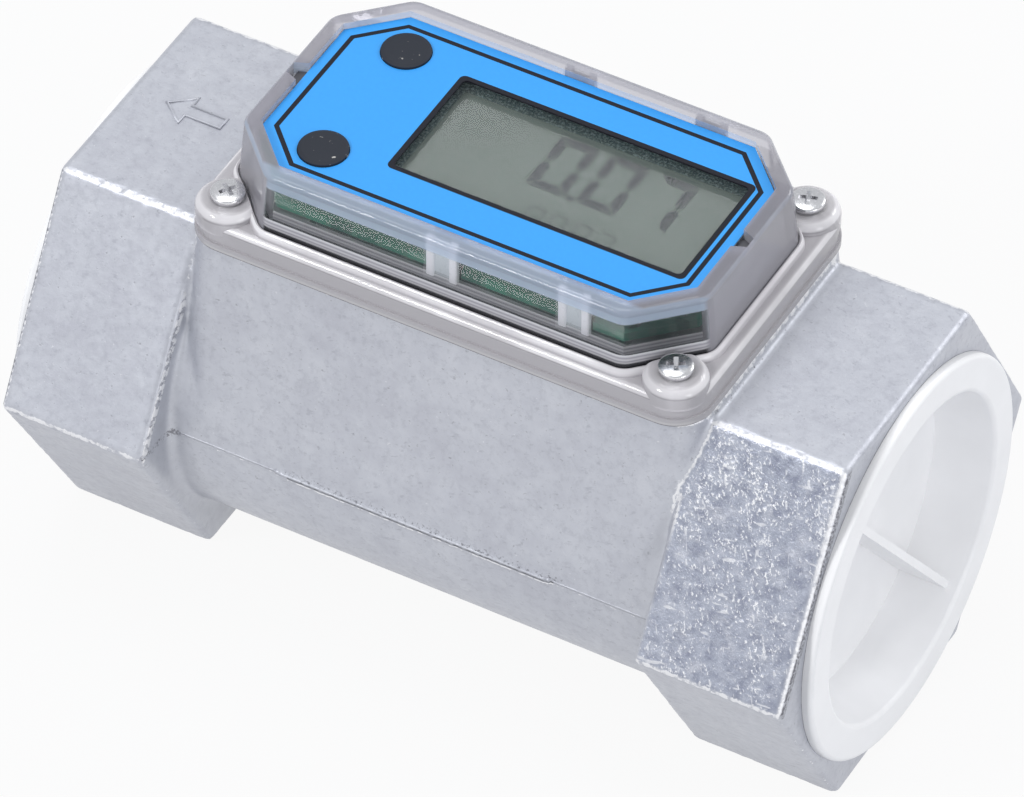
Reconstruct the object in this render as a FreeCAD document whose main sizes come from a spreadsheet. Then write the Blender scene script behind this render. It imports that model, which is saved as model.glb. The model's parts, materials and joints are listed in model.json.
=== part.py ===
import FreeCAD, Part
import Sketcher
import os

# Turbine flow meter with 2 inch pipe ports and a battery display on top.
# The pipe axis is X: liquid enters at +X and leaves at -X. Z is up, and the meter stands
# on the lower flats of its two hexagons at Z = 0. All lengths are in millimetres.
# Every piece is drawn about the pipe axis and then lifted by half the hexagon.

doc = FreeCAD.newDocument("turbine_flow_meter")
sheet = doc.addObject("Spreadsheet::Sheet", "dims")

sizes = {
    # Cast body
    "hexFlats": 70.0, "bodyLength": 138.2, "hexLength": 25.6, "hexEdgeRound": 1.0,
    "barrelRadius": 31.7, "wallSlope": 11.0, "padHeight": 36.2,
    "cornerRound": 6.5, "displayOffset": 0.9,
    "flashProud": 0.25, "flashThickness": 0.5, "flashLength": 86.0,
    "flashStepProud": 0.6, "flashStepThickness": 1.1, "flashStepLength": 47.0,
    # Ports and bore
    "threadRadius": 28.33, "threadDepth": 24.1, "skimmedRadius": 28.85, "skimmedDepth": 10.0,
    "portChamfer": 1.2, "supportBore": 25.0, "meteringBore": 24.2, "chamberHalf": 10.0,
    "ringGrooveRadius": 26.2, "ringGrooveWidth": 1.8,
    # Battery pocket
    "pocketLength": 56.0, "pocketWidth": 40.0, "pocketRound": 3.0, "pocketFloor": 28.6,
    "screwEndInset": 5.8, "screwSideInset": 5.3, "tappedRadius": 1.5, "tappedDepth": 9.0,
    # Dust plugs
    "plugFlangeRadius": 33.45, "plugFlangeThickness": 1.7, "plugEdgeRound": 0.8,
    "plugFit": 0.1, "plugMouthRadius": 27.3, "plugFloorRadius": 25.85,
    "plugCupDepth": 10.1, "plugFloorThickness": 1.3, "plugRibThickness": 1.3,
    "plugRibHeight": 7.9, "plugRibAngle": 52.0, "plugRibReach": 0.5,
    # Rotor supports
    "supportFit": 0.1, "supportRingWall": 1.6, "supportLength": 22.0, "hubRadius": 7.0,
    "vaneThickness": 1.6, "vaneCount": 5, "noseLength": 10.0, "noseTipRadius": 1.6,
    "ringWidth": 1.6, "ringInnerRadius": 23.0, "ringGap": 8.0,
    "bushRadius": 2.8, "bushLength": 8.0, "seatFit": 0.02, "runningFit": 0.04,
    # Rotor
    "rotorHalf": 9.0, "bladeHalf": 8.2, "bladeCount": 8, "bladeThickness": 1.6,
    "bladeRootAngle": 18.0, "bladeTipAngle": 42.0, "tipGap": 0.6, "rotorEdgeRound": 0.8,
    "shaftRadius": 1.5, "shaftEndGap": 0.5, "washerThickness": 0.6, "washerRadius": 3.2,
    "magnetRadius": 1.2, "magnetDepth": 3.0, "magnetCircle": 4.7, "magnetCount": 4,
    # Display base
    "gasketThickness": 0.4, "gasketWidth": 1.8, "baseLength": 89.8, "baseWidth": 52.6,
    "lipHeight": 1.3, "lipStep": 0.4, "skirtHeight": 3.6, "skirtRound": 1.2,
    "floorThickness": 1.6, "bossRadius": 5.2, "bossRise": 2.0, "bossRound": 1.8,
    "screwClearance": 0.2, "lidSlit": 0.3, "tongueWall": 1.3, "tongueHeight": 2.2,
    "wellEndMargin": 3.9, "wellSideMargin": 4.0, "wellCut": 7.6,
    # Display lid
    "lidEndInset": 3.3, "lidSideInset": 2.2, "lidCut": 10.1, "lidDraft": 5.0,
    "lidHeight": 11.1, "lidWall": 2.0, "sealThickness": 0.5, "sealInset": 0.5,
    "rimDepth": 1.1, "plateThickness": 1.6, "lidEdgeRound": 0.9, "lidCornerRound": 3.5,
    "labelEndMargin": 3.75, "labelSideMargin": 4.1, "labelCut": 7.55, "labelThickness": 0.3,
    "labelFit": 0.15, "notchLength": 2.4, "notchWidth": 4.4, "notchDepth": 2.4,
    "postRadius": 2.4, "postInset": 2.2, "postBefore": 9.7, "postAfter": 13.1,
    "boardBossRadius": 2.0, "rightBossEnd": 12.1, "rightBossSide": 6.0,
    "leftBossEnd": 6.2, "leftBossY": 6.5,
    # Buttons
    "buttonEndInset": 10.95, "buttonSideInset": 7.3, "buttonRadius": 4.0, "buttonFit": 0.1,
    "buttonProud": 0.35, "buttonDome": 0.5, "buttonFlangeRadius": 4.8,
    "buttonFlangeThickness": 0.9, "buttonTravel": 0.5,
    "switchWidth": 6.0, "switchHeight": 1.4, "plungerRadius": 1.6, "plungerFit": 0.1,
    "plungerDepth": 0.6,
    # Board and display
    "boardThickness": 1.6, "boardGap": 0.5, "boardTop": 4.7, "notchFit": 0.4,
    "windowLeft": 21.85, "windowRight": 3.85, "windowBelow": 9.5, "windowAbove": 8.3,
    "windowRound": 1.0, "lcdHiddenEnd": 1.5, "lcdHiddenSide": 1.9, "lcdThickness": 2.2,
    "frameWall": 1.0, "frameFit": 0.1, "stripWidth": 1.8, "stripInset": 1.0,
    "chipWidth": 9.0, "chipHeight": 1.3, "chipX": 14.0, "chipY": -11.0,
    "crystalRadius": 1.0, "crystalLength": 6.0, "crystalEnd": 17.6,
    # Batteries
    "cellRadius": 5.25, "cellLength": 44.5, "cellSpacing": 24.0, "cellRise": 6.0,
    "nubRadius": 2.7, "nubLength": 0.8, "holderEndGap": 1.7, "holderSideGap": 1.6,
    "holderRise": 0.6, "holderRim": 1.4, "holderRimThickness": 1.0, "cellFit": 0.25,
    "holderRoof": 1.2, "contactThickness": 0.4, "contactWidth": 8.0, "contactFit": 0.1,
    # Pickup coil
    "bobbinRadius": 5.8, "bobbinHeight": 8.0, "bobbinFlange": 0.8, "bobbinTube": 2.4,
    "coreRadius": 1.6, "coreHeight": 8.6, "windingRadius": 5.2, "coilWell": 7.0,
    "pinRadius": 0.4, "pinSpacing": 9.0,
    # Screws
    "screwRadius": 1.45, "screwHeadRadius": 2.75, "screwHeadHeight": 1.4,
    "screwLength": 12.0, "screwHeadRound": 0.9,
    "boardScrewRadius": 0.9, "boardScrewHead": 1.8, "boardScrewHeadHeight": 1.0,
    "boardScrewGrip": 1.2, "boardScrewFit": 0.1,
}

for row, (alias, number) in enumerate(sizes.items(), 1):
    sheet.set("A%d" % row, alias)
    sheet.set("B%d" % row, str(number))
    sheet.setAlias("B%d" % row, alias)
doc.recompute()


def plain(text):
    """Read an expression with the sheet's names, and give its number."""
    return float(sheet.evalExpression(spell(text)))


def spell(text):
    """Turn words such as hexFlats into dims.hexFlats, as FreeCAD's expressions want them."""
    out = ""
    word = ""
    for letter in text + " ":
        if letter.isalnum():
            word += letter
            continue
        if word in derived:
            out += "(" + spell(derived[word]) + ")"
        else:
            out += ("dims." + word) if word in sizes else word
        word = ""
        out += letter
    return out.strip()


# Lengths that follow from others: each of these pieces is set in from the one outside it.
derived = {
    "screwSpacingX": "baseLength - 2 * screwEndInset",
    "screwSpacingY": "baseWidth - 2 * screwSideInset",
    "lidLength": "baseLength - 2 * lidEndInset",
    "lidWidth": "baseWidth - 2 * lidSideInset",
    "wellLength": "lidLength - 2 * wellEndMargin",
    "wellWidth": "lidWidth - 2 * wellSideMargin",
    "labelLength": "lidLength - 2 * labelEndMargin",
    "labelWidth": "lidWidth - 2 * labelSideMargin",
    "windowLength": "labelLength - windowLeft - windowRight",
    "windowWidth": "labelWidth - windowBelow - windowAbove",
    "windowX": "(windowLeft - windowRight) / 2",
    "windowY": "(windowBelow - windowAbove) / 2",
    "lcdLength": "windowLength + 2 * lcdHiddenEnd",
    "lcdWidth": "windowWidth + 2 * lcdHiddenSide",
    "buttonX": "buttonEndInset - labelLength / 2",
    "buttonY": "labelWidth / 2 - buttonSideInset",
    "postFirst": "windowX - postBefore",
    "postSecond": "windowX + postAfter",
    "rightBossX": "lidLength / 2 - rightBossEnd",
    "rightBossY": "lidWidth / 2 - rightBossSide",
    "leftBossX": "lidLength / 2 - leftBossEnd",
    "crystalX": "lidLength / 2 - crystalEnd",
    "holderLength": "pocketLength - 2 * holderEndGap",
    "holderWidth": "pocketWidth - 2 * holderSideGap",
}

# Levels and lines that several pieces share, in the sheet's names.
axisHeight = "hexFlats / 2"
endFace = "(bodyLength / 2)"
sideSlope = "tan(wallSlope * 1 deg)"
baseBottom = "(padHeight + gasketThickness)"
deck = "(padHeight + gasketThickness + lipHeight + skirtHeight)"
lidBottom = "(%s + sealThickness)" % deck
lidTop = "(%s + lidHeight)" % lidBottom
plateTop = "(%s - rimDepth)" % lidTop
labelFloor = "(%s - labelThickness)" % plateTop
plateUnder = "(%s - plateThickness)" % labelFloor
boardTopLevel = "(%s - boardTop)" % labelFloor
boardUnder = "(%s - boardThickness)" % boardTopLevel
floorTop = "(%s + floorThickness)" % baseBottom
screwSeat = "(%s + bossRise)" % deck


def lidShrink(level):
    """How far the lid's drafted wall has moved in at a level."""
    return "((%s - %s) * tan(lidDraft * 1 deg))" % (level, lidBottom)


def originPlane(body, role):
    return [found for found in body.Origin.OriginFeatures if found.Role == role][0]


def startBody(name, turned=False, along="displayOffset"):
    """A body drawn about the pipe axis and lifted to stand on the hexagon's flat."""
    body = doc.addObject("PartDesign::Body", name)
    body.Label = name
    if turned:
        body.Placement.Rotation = FreeCAD.Rotation(FreeCAD.Vector(0, 0, 1), 180)
    body.setExpression("Placement.Base.z", spell(axisHeight))
    body.setExpression("Placement.Base.x", spell(along))
    return body


def startSketch(body, role, lift="0"):
    drawn = body.newObject("Sketcher::SketchObject", body.Label + "Sketch")
    drawn.AttachmentSupport = [(originPlane(body, role), "")]
    drawn.MapMode = "FlatFace"
    drawn.setExpression(".AttachmentOffset.Base.z", spell(lift))
    return drawn


def bind(drawn, constraint, text):
    number = drawn.addConstraint(constraint)
    drawn.setExpression("Constraints[%d]" % number, spell(text))


def place(drawn, index, corner, across, up):
    for kind, text in (("DistanceX", across), ("DistanceY", up)):
        bind(drawn, Sketcher.Constraint(kind, index, corner, plain(text)), text)


def polygon(drawn, corners):
    """A closed outline through corners given as pairs of expressions."""
    spots = [FreeCAD.Vector(plain(across), plain(up), 0) for across, up in corners]
    first = drawn.GeometryCount
    total = len(spots)
    for k in range(total):
        drawn.addGeometry(Part.LineSegment(spots[k], spots[(k + 1) % total]), False)
    for k in range(total):
        joint = Sketcher.Constraint("Coincident", first + k, 2, first + (k + 1) % total, 1)
        drawn.addConstraint(joint)
    for k, (across, up) in enumerate(corners):
        place(drawn, first + k, 1, across, up)


def circle(drawn, across, up, radius):
    centre = FreeCAD.Vector(plain(across), plain(up), 0)
    index = drawn.addGeometry(Part.Circle(centre, FreeCAD.Vector(0, 0, 1), plain(radius)), False)
    place(drawn, index, 3, across, up)
    bind(drawn, Sketcher.Constraint("Radius", index, plain(radius)), radius)


def roundedRectangle(drawn, length, width, corner, across="0", up="0"):
    """A rectangle with arcs at its corners, centred on (across, up)."""
    halfX = plain(length) / 2
    halfY = plain(width) / 2
    arc = plain(corner)
    middle = FreeCAD.Vector(plain(across), plain(up), 0)
    first = drawn.GeometryCount
    signs = [(1, 1), (-1, 1), (-1, -1), (1, -1)]
    starts = []
    ends = []
    for k, (sx, sy) in enumerate(signs):
        centre = middle + FreeCAD.Vector(sx * (halfX - arc), sy * (halfY - arc), 0)
        turn = k * 1.5707963267948966
        ring = Part.Circle(centre, FreeCAD.Vector(0, 0, 1), arc)
        drawn.addGeometry(Part.ArcOfCircle(ring, turn, turn + 1.5707963267948966), False)
        starts.append(ring.value(turn))
        ends.append(ring.value(turn + 1.5707963267948966))
    for k in range(4):
        drawn.addGeometry(Part.LineSegment(ends[k], starts[(k + 1) % 4]), False)
    for k in range(4):
        line = first + 4 + k
        drawn.addConstraint(Sketcher.Constraint("Tangent", first + k, 2, line, 1))
        drawn.addConstraint(Sketcher.Constraint("Tangent", line, 2, first + (k + 1) % 4, 1))
        if k:
            drawn.addConstraint(Sketcher.Constraint("Equal", first, first + k))
    drawn.addConstraint(Sketcher.Constraint("Horizontal", first + 4))
    drawn.addConstraint(Sketcher.Constraint("Vertical", first + 5))
    bind(drawn, Sketcher.Constraint("Radius", first, arc), corner)
    edges = [
        ("DistanceY", first + 4, "%s + (%s) / 2" % (up, width)),
        ("DistanceX", first + 5, "%s - (%s) / 2" % (across, length)),
        ("DistanceY", first + 6, "%s - (%s) / 2" % (up, width)),
        ("DistanceX", first + 7, "%s + (%s) / 2" % (across, length)),
    ]
    for kind, index, text in edges:
        bind(drawn, Sketcher.Constraint(kind, index, 1, plain(text)), text)


def octagonCorners(length, width, cut, inset="0"):
    """A rectangle with its corners cut at 45 degrees, moved in all round by inset."""
    halfX = "((%s) / 2 - (%s))" % (length, inset)
    halfY = "((%s) / 2 - (%s))" % (width, inset)
    leg = "((%s) - (%s) * (2 - sqrt(2)))" % (cut, inset)
    corners = []
    for sx, sy, flip in ((1, 1, 0), (-1, 1, 1), (-1, -1, 0), (1, -1, 1)):
        onSide = ("%d * %s" % (sx, halfX), "%d * (%s - %s)" % (sy, halfY, leg))
        onFront = ("%d * (%s - %s)" % (sx, halfX, leg), "%d * %s" % (sy, halfY))
        corners += [onFront, onSide] if flip else [onSide, onFront]
    return corners


def finish(body, made, values):
    for attribute, text in values.items():
        made.setExpression(attribute, spell(text))
    doc.recompute()
    return made


def pad(body, drawn, length, both=False, down=False, draft=None):
    made = body.newObject("PartDesign::Pad", body.Label + "Pad")
    made.Profile = drawn
    made.Midplane = both
    made.Reversed = down
    values = {"Length": length}
    if draft:
        values["TaperAngle"] = draft
    return finish(body, made, values)


def pocket(body, drawn, depth, both=False, up=False, draft=None):
    """Cut down from the sketch, or up from it, and make sure that the cut took something."""
    before = body.Shape.Volume
    made = body.newObject("PartDesign::Pocket", body.Label + "Pocket")
    made.Profile = drawn
    made.Midplane = both
    made.Reversed = up
    values = {"Length": depth}
    if draft:
        values["TaperAngle"] = draft
    finish(body, made, values)
    if body.Shape.Volume > before - 0.001:
        raise ValueError(made.Name + " cut nothing")
    return made


def turn(body, drawn, axis="H_Axis"):
    made = body.newObject("PartDesign::Revolution", body.Label + "Turned")
    made.Profile = drawn
    made.ReferenceAxis = (drawn, [axis])
    made.Angle = 360
    return finish(body, made, {})


def groove(body, drawn, axis="H_Axis"):
    before = body.Shape.Volume
    made = body.newObject("PartDesign::Groove", body.Label + "Groove")
    made.Profile = drawn
    made.ReferenceAxis = (drawn, [axis])
    made.Angle = 360
    finish(body, made, {})
    if body.Shape.Volume > before - 0.001:
        raise ValueError(made.Name + " cut nothing")
    return made


def around(body, feature, count, axisRole="X_Axis"):
    made = body.newObject("PartDesign::PolarPattern", body.Label + "Pattern")
    made.Originals = [feature]
    made.Axis = (originPlane(body, axisRole), [""])
    made.Angle = 360
    made.setExpression("Occurrences", spell(count))
    body.Tip = made
    doc.recompute()
    return made


def soften(body, radius, wanted, kind="PartDesign::Fillet"):
    """Round, or chamfer, the edges of the body's tip for which wanted(edge) is true."""
    tip = body.Tip
    picked = ["Edge%d" % (k + 1) for k, edge in enumerate(tip.Shape.Edges) if wanted(edge)]
    if not picked:
        raise ValueError("no edge to round on " + body.Label)
    made = body.newObject(kind, body.Label + "Soft")
    made.Base = (tip, picked)
    made.setExpression("Radius" if kind.endswith("Fillet") else "Size", spell(radius))
    doc.recompute()
    return made


def near(first, second, gap=0.01):
    return abs(first - second) < gap


def level(edge, height):
    """True where an edge lies flat at a height above the pipe axis."""
    return near(edge.BoundBox.ZMin, plain(height)) and near(edge.BoundBox.ZMax, plain(height))


def upright(edge):
    box = edge.BoundBox
    return box.XLength < 0.01 and box.YLength < 0.01


def makeMeterBody():
    """The casting: barrel, two hexagons, the tower that carries the display, and its bores."""
    body = startBody("meter_body", along="0")
    barrel = startSketch(body, "YZ_Plane")
    circle(barrel, "0", "0", "barrelRadius")
    pad(body, barrel, "bodyLength - hexLength", both=True)
    half = "(hexFlats / 2)"
    side = "(%s * tan(30 deg))" % half
    point = "(%s / cos(30 deg))" % half
    hexCorners = [(side, half), ("-" + side, half), ("-" + point, "0"),
                  ("-" + side, "-" + half), (side, "-" + half), (point, "0")]
    for lift in (endFace + " - hexLength", "-" + endFace):
        hexagon = startSketch(body, "YZ_Plane", lift)
        polygon(hexagon, hexCorners)
        pad(body, hexagon, "hexLength")
    outside = plain("barrelRadius") + 0.5
    soften(body, "hexEdgeRound", lambda edge: all(
        (spot.Point.y ** 2 + spot.Point.z ** 2) ** 0.5 > outside for spot in edge.Vertexes))

    for length, proud, thickness in (("flashLength", "flashProud", "flashThickness"),
                                     ("flashStepLength", "flashStepProud", "flashStepThickness")):
        flash = startSketch(body, "XY_Plane")
        wide = "barrelRadius + " + proud
        polygon(flash, [(length + " / 2", wide), ("-%s / 2" % length, wide),
                        ("-%s / 2" % length, "-(%s)" % wide), (length + " / 2", "-(%s)" % wide)])
        pad(body, flash, thickness, both=True)

    foot = "(barrelRadius * sin(wallSlope * 1 deg))"
    footWidth = "(2 * barrelRadius * cos(wallSlope * 1 deg))"
    topWidth = "(%s - 2 * (padHeight - %s) * %s)" % (footWidth, foot, sideSlope)
    lower = startSketch(body, "XY_Plane", foot)
    roundedRectangle(lower, "baseLength", footWidth, "cornerRound", "displayOffset")
    upper = startSketch(body, "XY_Plane", "padHeight")
    roundedRectangle(upper, "baseLength", topWidth, "cornerRound", "displayOffset")
    tower = body.newObject("PartDesign::AdditiveLoft", "tower")
    tower.Profile = lower
    tower.Sections = [upper]
    tower.Ruled = True
    doc.recompute()

    bore = startSketch(body, "XZ_Plane")
    outline = []
    for sign, steps in ((1, 1), (-1, -1)):
        end = "%d * %s" % (sign, endFace)
        groove0 = "%d * (chamberHalf + supportLength)" % sign
        groove1 = "%d * (chamberHalf + supportLength + ringGrooveWidth)" % sign
        shelf = "%d * chamberHalf" % sign
        part = [
            ("%s + %d" % (end, sign), "0"),
            ("%s + %d" % (end, sign), "skimmedRadius + portChamfer"),
            (end, "skimmedRadius + portChamfer"),
            ("%s - %d * portChamfer" % (end, sign), "skimmedRadius"),
            ("%s - %d * skimmedDepth" % (end, sign), "skimmedRadius"),
            ("%s - %d * skimmedDepth" % (end, sign), "threadRadius"),
            ("%s - %d * threadDepth" % (end, sign), "threadRadius"),
            ("%s - %d * threadDepth" % (end, sign), "supportBore"),
            (groove1, "supportBore"), (groove1, "ringGrooveRadius"),
            (groove0, "ringGrooveRadius"), (groove0, "supportBore"),
            (shelf, "supportBore"), (shelf, "meteringBore"),
        ]
        outline += part[::steps]
    polygon(bore, outline)
    groove(body, bore)

    well = startSketch(body, "XY_Plane", "padHeight")
    roundedRectangle(well, "pocketLength", "pocketWidth", "pocketRound", "displayOffset")
    pocket(body, well, "padHeight - pocketFloor")
    tapped = startSketch(body, "XY_Plane", "padHeight")
    for sx in (1, -1):
        for sy in (1, -1):
            circle(tapped, "displayOffset + %d * screwSpacingX / 2" % sx,
                   "%d * screwSpacingY / 2" % sy, "tappedRadius")
    pocket(body, tapped, "tappedDepth")
    return body


def makePlug(name, turned):
    """A moulded dust plug: flange, tapered cup and a thin rib to pull it by."""
    body = startBody(name, turned, along="0")
    barrel = "(skimmedRadius - plugFit)"
    face = "(%s + plugFlangeThickness)" % endFace
    cup = "(%s - plugCupDepth)" % face
    cupSide = startSketch(body, "XZ_Plane")
    polygon(cupSide, [
        ("%s - plugFloorThickness" % cup, "0"),
        ("%s - plugFloorThickness" % cup, barrel + " - 0.4"),
        ("%s - plugFloorThickness + 0.4" % cup, barrel),
        (endFace, barrel), (endFace, "plugFlangeRadius"), (face, "plugFlangeRadius"),
        (face, "plugMouthRadius"), (cup, "plugFloorRadius"), (cup, "0"),
    ])
    turn(body, cupSide)
    front = plain(face)
    soften(body, "plugEdgeRound", lambda edge: near(edge.BoundBox.XMin, front)
           and near(edge.BoundBox.XMax, front) and edge.Length > 1)
    rib = startSketch(body, "YZ_Plane", cup)
    reach = "(plugMouthRadius + plugRibReach)"
    cosine = "cos(plugRibAngle * 1 deg)"
    sine = "sin(plugRibAngle * 1 deg)"
    corners = []
    for along, across in ((1, 1), (-1, 1), (-1, -1), (1, -1)):
        corners.append((
            "%d * %s * %s + %d * plugRibThickness / 2 * %s" % (along, reach, cosine, across, sine),
            "%d * %s * %s + %d * plugRibThickness / 2 * %s" % (-along, reach, sine, across, cosine),
        ))
    polygon(rib, corners)
    pad(body, rib, "plugRibHeight")
    return body


def makeSupport(name, turned):
    """A rotor support: outer ring, straightening vanes, hub with a nose cone and a bush seat."""
    body = startBody(name, turned, along="0")
    outer = "(supportBore - supportFit)"
    inner = "(%s - supportRingWall)" % outer
    start = "chamberHalf"
    finishX = "(chamberHalf + supportLength)"
    ring = startSketch(body, "XZ_Plane")
    polygon(ring, [(start, inner), (finishX, inner), (finishX, outer), (start, outer)])
    turn(body, ring)
    vane = startSketch(body, "YZ_Plane", start)
    polygon(vane, [("vaneThickness / 2", "hubRadius / 2"), ("vaneThickness / 2", inner + " + 0.5"),
                   ("-vaneThickness / 2", inner + " + 0.5"), ("-vaneThickness / 2", "hubRadius / 2")])
    blade = pad(body, vane, "supportLength")
    around(body, blade, "vaneCount")
    hub = startSketch(body, "XZ_Plane")
    seat = "(bushRadius + seatFit)"
    tip = "(%s + noseLength)" % finishX
    polygon(hub, [
        (start, seat), (start, "hubRadius"), (finishX, "hubRadius"),
        ("%s + noseLength * 0.45" % finishX, "hubRadius * 0.86"),
        ("%s + noseLength * 0.8" % finishX, "hubRadius * 0.55"),
        (tip, "noseTipRadius * 0.6"), (tip, "0"),
        ("chamberHalf + bushLength", "0"), ("chamberHalf + bushLength", seat),
    ])
    turn(body, hub)
    return body


def makeBush(name, turned):
    body = startBody(name, turned, along="0")
    drawn = startSketch(body, "XZ_Plane")
    bore = "(shaftRadius + runningFit)"
    polygon(drawn, [("chamberHalf", bore), ("chamberHalf + bushLength", bore),
                    ("chamberHalf + bushLength", "bushRadius"), ("chamberHalf", "bushRadius")])
    turn(body, drawn)
    return body


def makeRetainingRing(name, turned):
    """A spring ring in its groove, open at the bottom between two ears."""
    body = startBody(name, turned, along="0")
    drawn = startSketch(body, "XZ_Plane")
    near0 = "(chamberHalf + supportLength)"
    polygon(drawn, [(near0, "ringInnerRadius"), (near0 + " + ringWidth", "ringInnerRadius"),
                    (near0 + " + ringWidth", "ringGrooveRadius - supportFit"),
                    (near0, "ringGrooveRadius - supportFit")])
    turn(body, drawn)
    gap = startSketch(body, "XY_Plane", "-ringGrooveRadius - 1")
    polygon(gap, [(near0 + " - 1", "ringGap / 2"), (near0 + " - 1", "-ringGap / 2"),
                  (near0 + " + ringWidth + 1", "-ringGap / 2"),
                  (near0 + " + ringWidth + 1", "ringGap / 2")])
    pocket(body, gap, "ringGrooveRadius", up=True)
    return body


def makeRotor():
    """The turbine rotor: a hub with twisted blades, steeper at the tip than at the root."""
    body = startBody("turbine_rotor", along="0")
    hub = startSketch(body, "XZ_Plane")
    bore = "(shaftRadius + seatFit)"
    polygon(hub, [("-rotorHalf", bore), ("-rotorHalf", "hubRadius - rotorEdgeRound"),
                  ("-rotorHalf + rotorEdgeRound", "hubRadius"),
                  ("rotorHalf - rotorEdgeRound", "hubRadius"),
                  ("rotorHalf", "hubRadius - rotorEdgeRound"), ("rotorHalf", bore)])
    turn(body, hub)
    sections = []
    for lift, angle in (("hubRadius * 0.8", "bladeRootAngle"), ("meteringBore + 1", "bladeTipAngle")):
        section = startSketch(body, "XY_Plane", lift)
        lean = "(bladeHalf * tan(%s * 1 deg))" % angle
        width = "(bladeThickness / cos(%s * 1 deg) / 2)" % angle
        polygon(section, [("bladeHalf", "%s - %s" % (lean, width)), ("bladeHalf", "%s + %s" % (lean, width)),
                          ("-bladeHalf", "-%s + %s" % (lean, width)),
                          ("-bladeHalf", "-%s - %s" % (lean, width))])
        sections.append(section)
    blade = body.newObject("PartDesign::AdditiveLoft", "rotorBlade")
    blade.Profile = sections[0]
    blade.Sections = sections[1:]
    blade.Ruled = True
    doc.recompute()
    around(body, blade, "bladeCount")
    trim = startSketch(body, "XZ_Plane")
    tip = "(meteringBore - tipGap)"
    polygon(trim, [("-rotorHalf", tip), ("rotorHalf", tip), ("rotorHalf", "2 * meteringBore"),
                   ("-rotorHalf", "2 * meteringBore")])
    groove(body, trim)
    holes = startSketch(body, "YZ_Plane", "-rotorHalf")
    circle(holes, "0", "magnetCircle", "magnetRadius + seatFit")
    drilled = pocket(body, holes, "magnetDepth", up=True)
    around(body, drilled, "magnetCount")
    return body


def makeShaft():
    body = startBody("rotor_shaft", along="0")
    drawn = startSketch(body, "YZ_Plane")
    circle(drawn, "0", "0", "shaftRadius")
    pad(body, drawn, "2 * (chamberHalf + bushLength - shaftEndGap)", both=True)
    return body


def makeMagnets():
    """Disc magnets pressed flush into the rotor's downstream face."""
    body = startBody("rotor_magnets", along="0")
    drawn = startSketch(body, "YZ_Plane", "-rotorHalf")
    circle(drawn, "0", "magnetCircle", "magnetRadius")
    around(body, pad(body, drawn, "magnetDepth"), "magnetCount")
    return body


def makeWashers():
    """A thrust washer on the shaft at each end of the rotor."""
    body = startBody("thrust_washers", along="0")
    for lift in ("rotorHalf", "-rotorHalf - washerThickness"):
        drawn = startSketch(body, "YZ_Plane", lift)
        circle(drawn, "0", "0", "washerRadius")
        circle(drawn, "0", "0", "shaftRadius + seatFit")
        pad(body, drawn, "washerThickness")
    return body


def makeDisplayBase():
    """The clear lower shell: a lipped flange with four screw bosses and a tongue for the lid."""
    body = startBody("display_base")
    lip = startSketch(body, "XY_Plane", baseBottom)
    roundedRectangle(lip, "baseLength", "baseWidth", "cornerRound")
    pad(body, lip, "lipHeight")
    skirt = startSketch(body, "XY_Plane", baseBottom + " + lipHeight")
    roundedRectangle(skirt, "baseLength - 2 * lipStep", "baseWidth - 2 * lipStep", "cornerRound - lipStep")
    pad(body, skirt, "skirtHeight")
    soften(body, "skirtRound", lambda edge: level(edge, deck))
    bosses = startSketch(body, "XY_Plane", deck + " - skirtHeight / 2")
    fourCircles(bosses, "screwSpacingX", "screwSpacingY", "bossRadius")
    pad(body, bosses, "skirtHeight / 2 + bossRise")
    soften(body, "bossRound", lambda edge: level(edge, screwSeat))
    lidRoom = startSketch(body, "XY_Plane", deck)
    polygon(lidRoom, octagonCorners("lidLength", "lidWidth", "lidCut", "-lidSlit"))
    pocket(body, lidRoom, "bossRise + 1", up=True)
    tongue = startSketch(body, "XY_Plane", deck)
    polygon(tongue, octagonCorners("wellLength", "wellWidth", "wellCut", "-tongueWall"))
    pad(body, tongue, "tongueHeight")
    well = startSketch(body, "XY_Plane", floorTop)
    polygon(well, octagonCorners("wellLength", "wellWidth", "wellCut"))
    pocket(body, well, "lipHeight + skirtHeight + tongueHeight", up=True)
    opening = startSketch(body, "XY_Plane", baseBottom)
    roundedRectangle(opening, "holderLength + 2 * contactFit", "holderWidth + 2 * contactFit",
                     "pocketRound + contactFit")
    pocket(body, opening, "floorThickness", up=True)
    holes = startSketch(body, "XY_Plane", baseBottom)
    fourCircles(holes, "screwSpacingX", "screwSpacingY", "screwRadius + screwClearance")
    pocket(body, holes, "lipHeight + skirtHeight + bossRise + 1", up=True)
    return body


def fourCircles(drawn, spacingX, spacingY, radius):
    for sx in (1, -1):
        for sy in (1, -1):
            circle(drawn, "%d * %s / 2" % (sx, spacingX), "%d * %s / 2" % (sy, spacingY), radius)


def boardCircles(drawn, radius):
    """One circle at each of the board's screws, two at the right corners and two on the left."""
    for sy in (1, -1):
        circle(drawn, "rightBossX", "%d * rightBossY" % sy, radius)
        circle(drawn, "-leftBossX", "%d * leftBossY" % sy, radius)


def makeGasket():
    body = startBody("base_gasket")
    drawn = startSketch(body, "XY_Plane", "padHeight")
    roundedRectangle(drawn, "pocketLength + 1 + 2 * gasketWidth", "pocketWidth + 1 + 2 * gasketWidth",
                     "pocketRound + gasketWidth")
    roundedRectangle(drawn, "pocketLength + 1", "pocketWidth + 1", "pocketRound")
    pad(body, drawn, "gasketThickness")
    return body


def makeSeal():
    """The dark seal between the base's deck and the lid's wall."""
    body = startBody("lid_seal")
    drawn = startSketch(body, "XY_Plane", deck)
    polygon(drawn, octagonCorners("lidLength", "lidWidth", "lidCut", "sealInset"))
    polygon(drawn, octagonCorners("wellLength", "wellWidth", "wellCut", "-tongueWall - lidSlit"))
    pad(body, drawn, "sealThickness")
    return body


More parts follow.
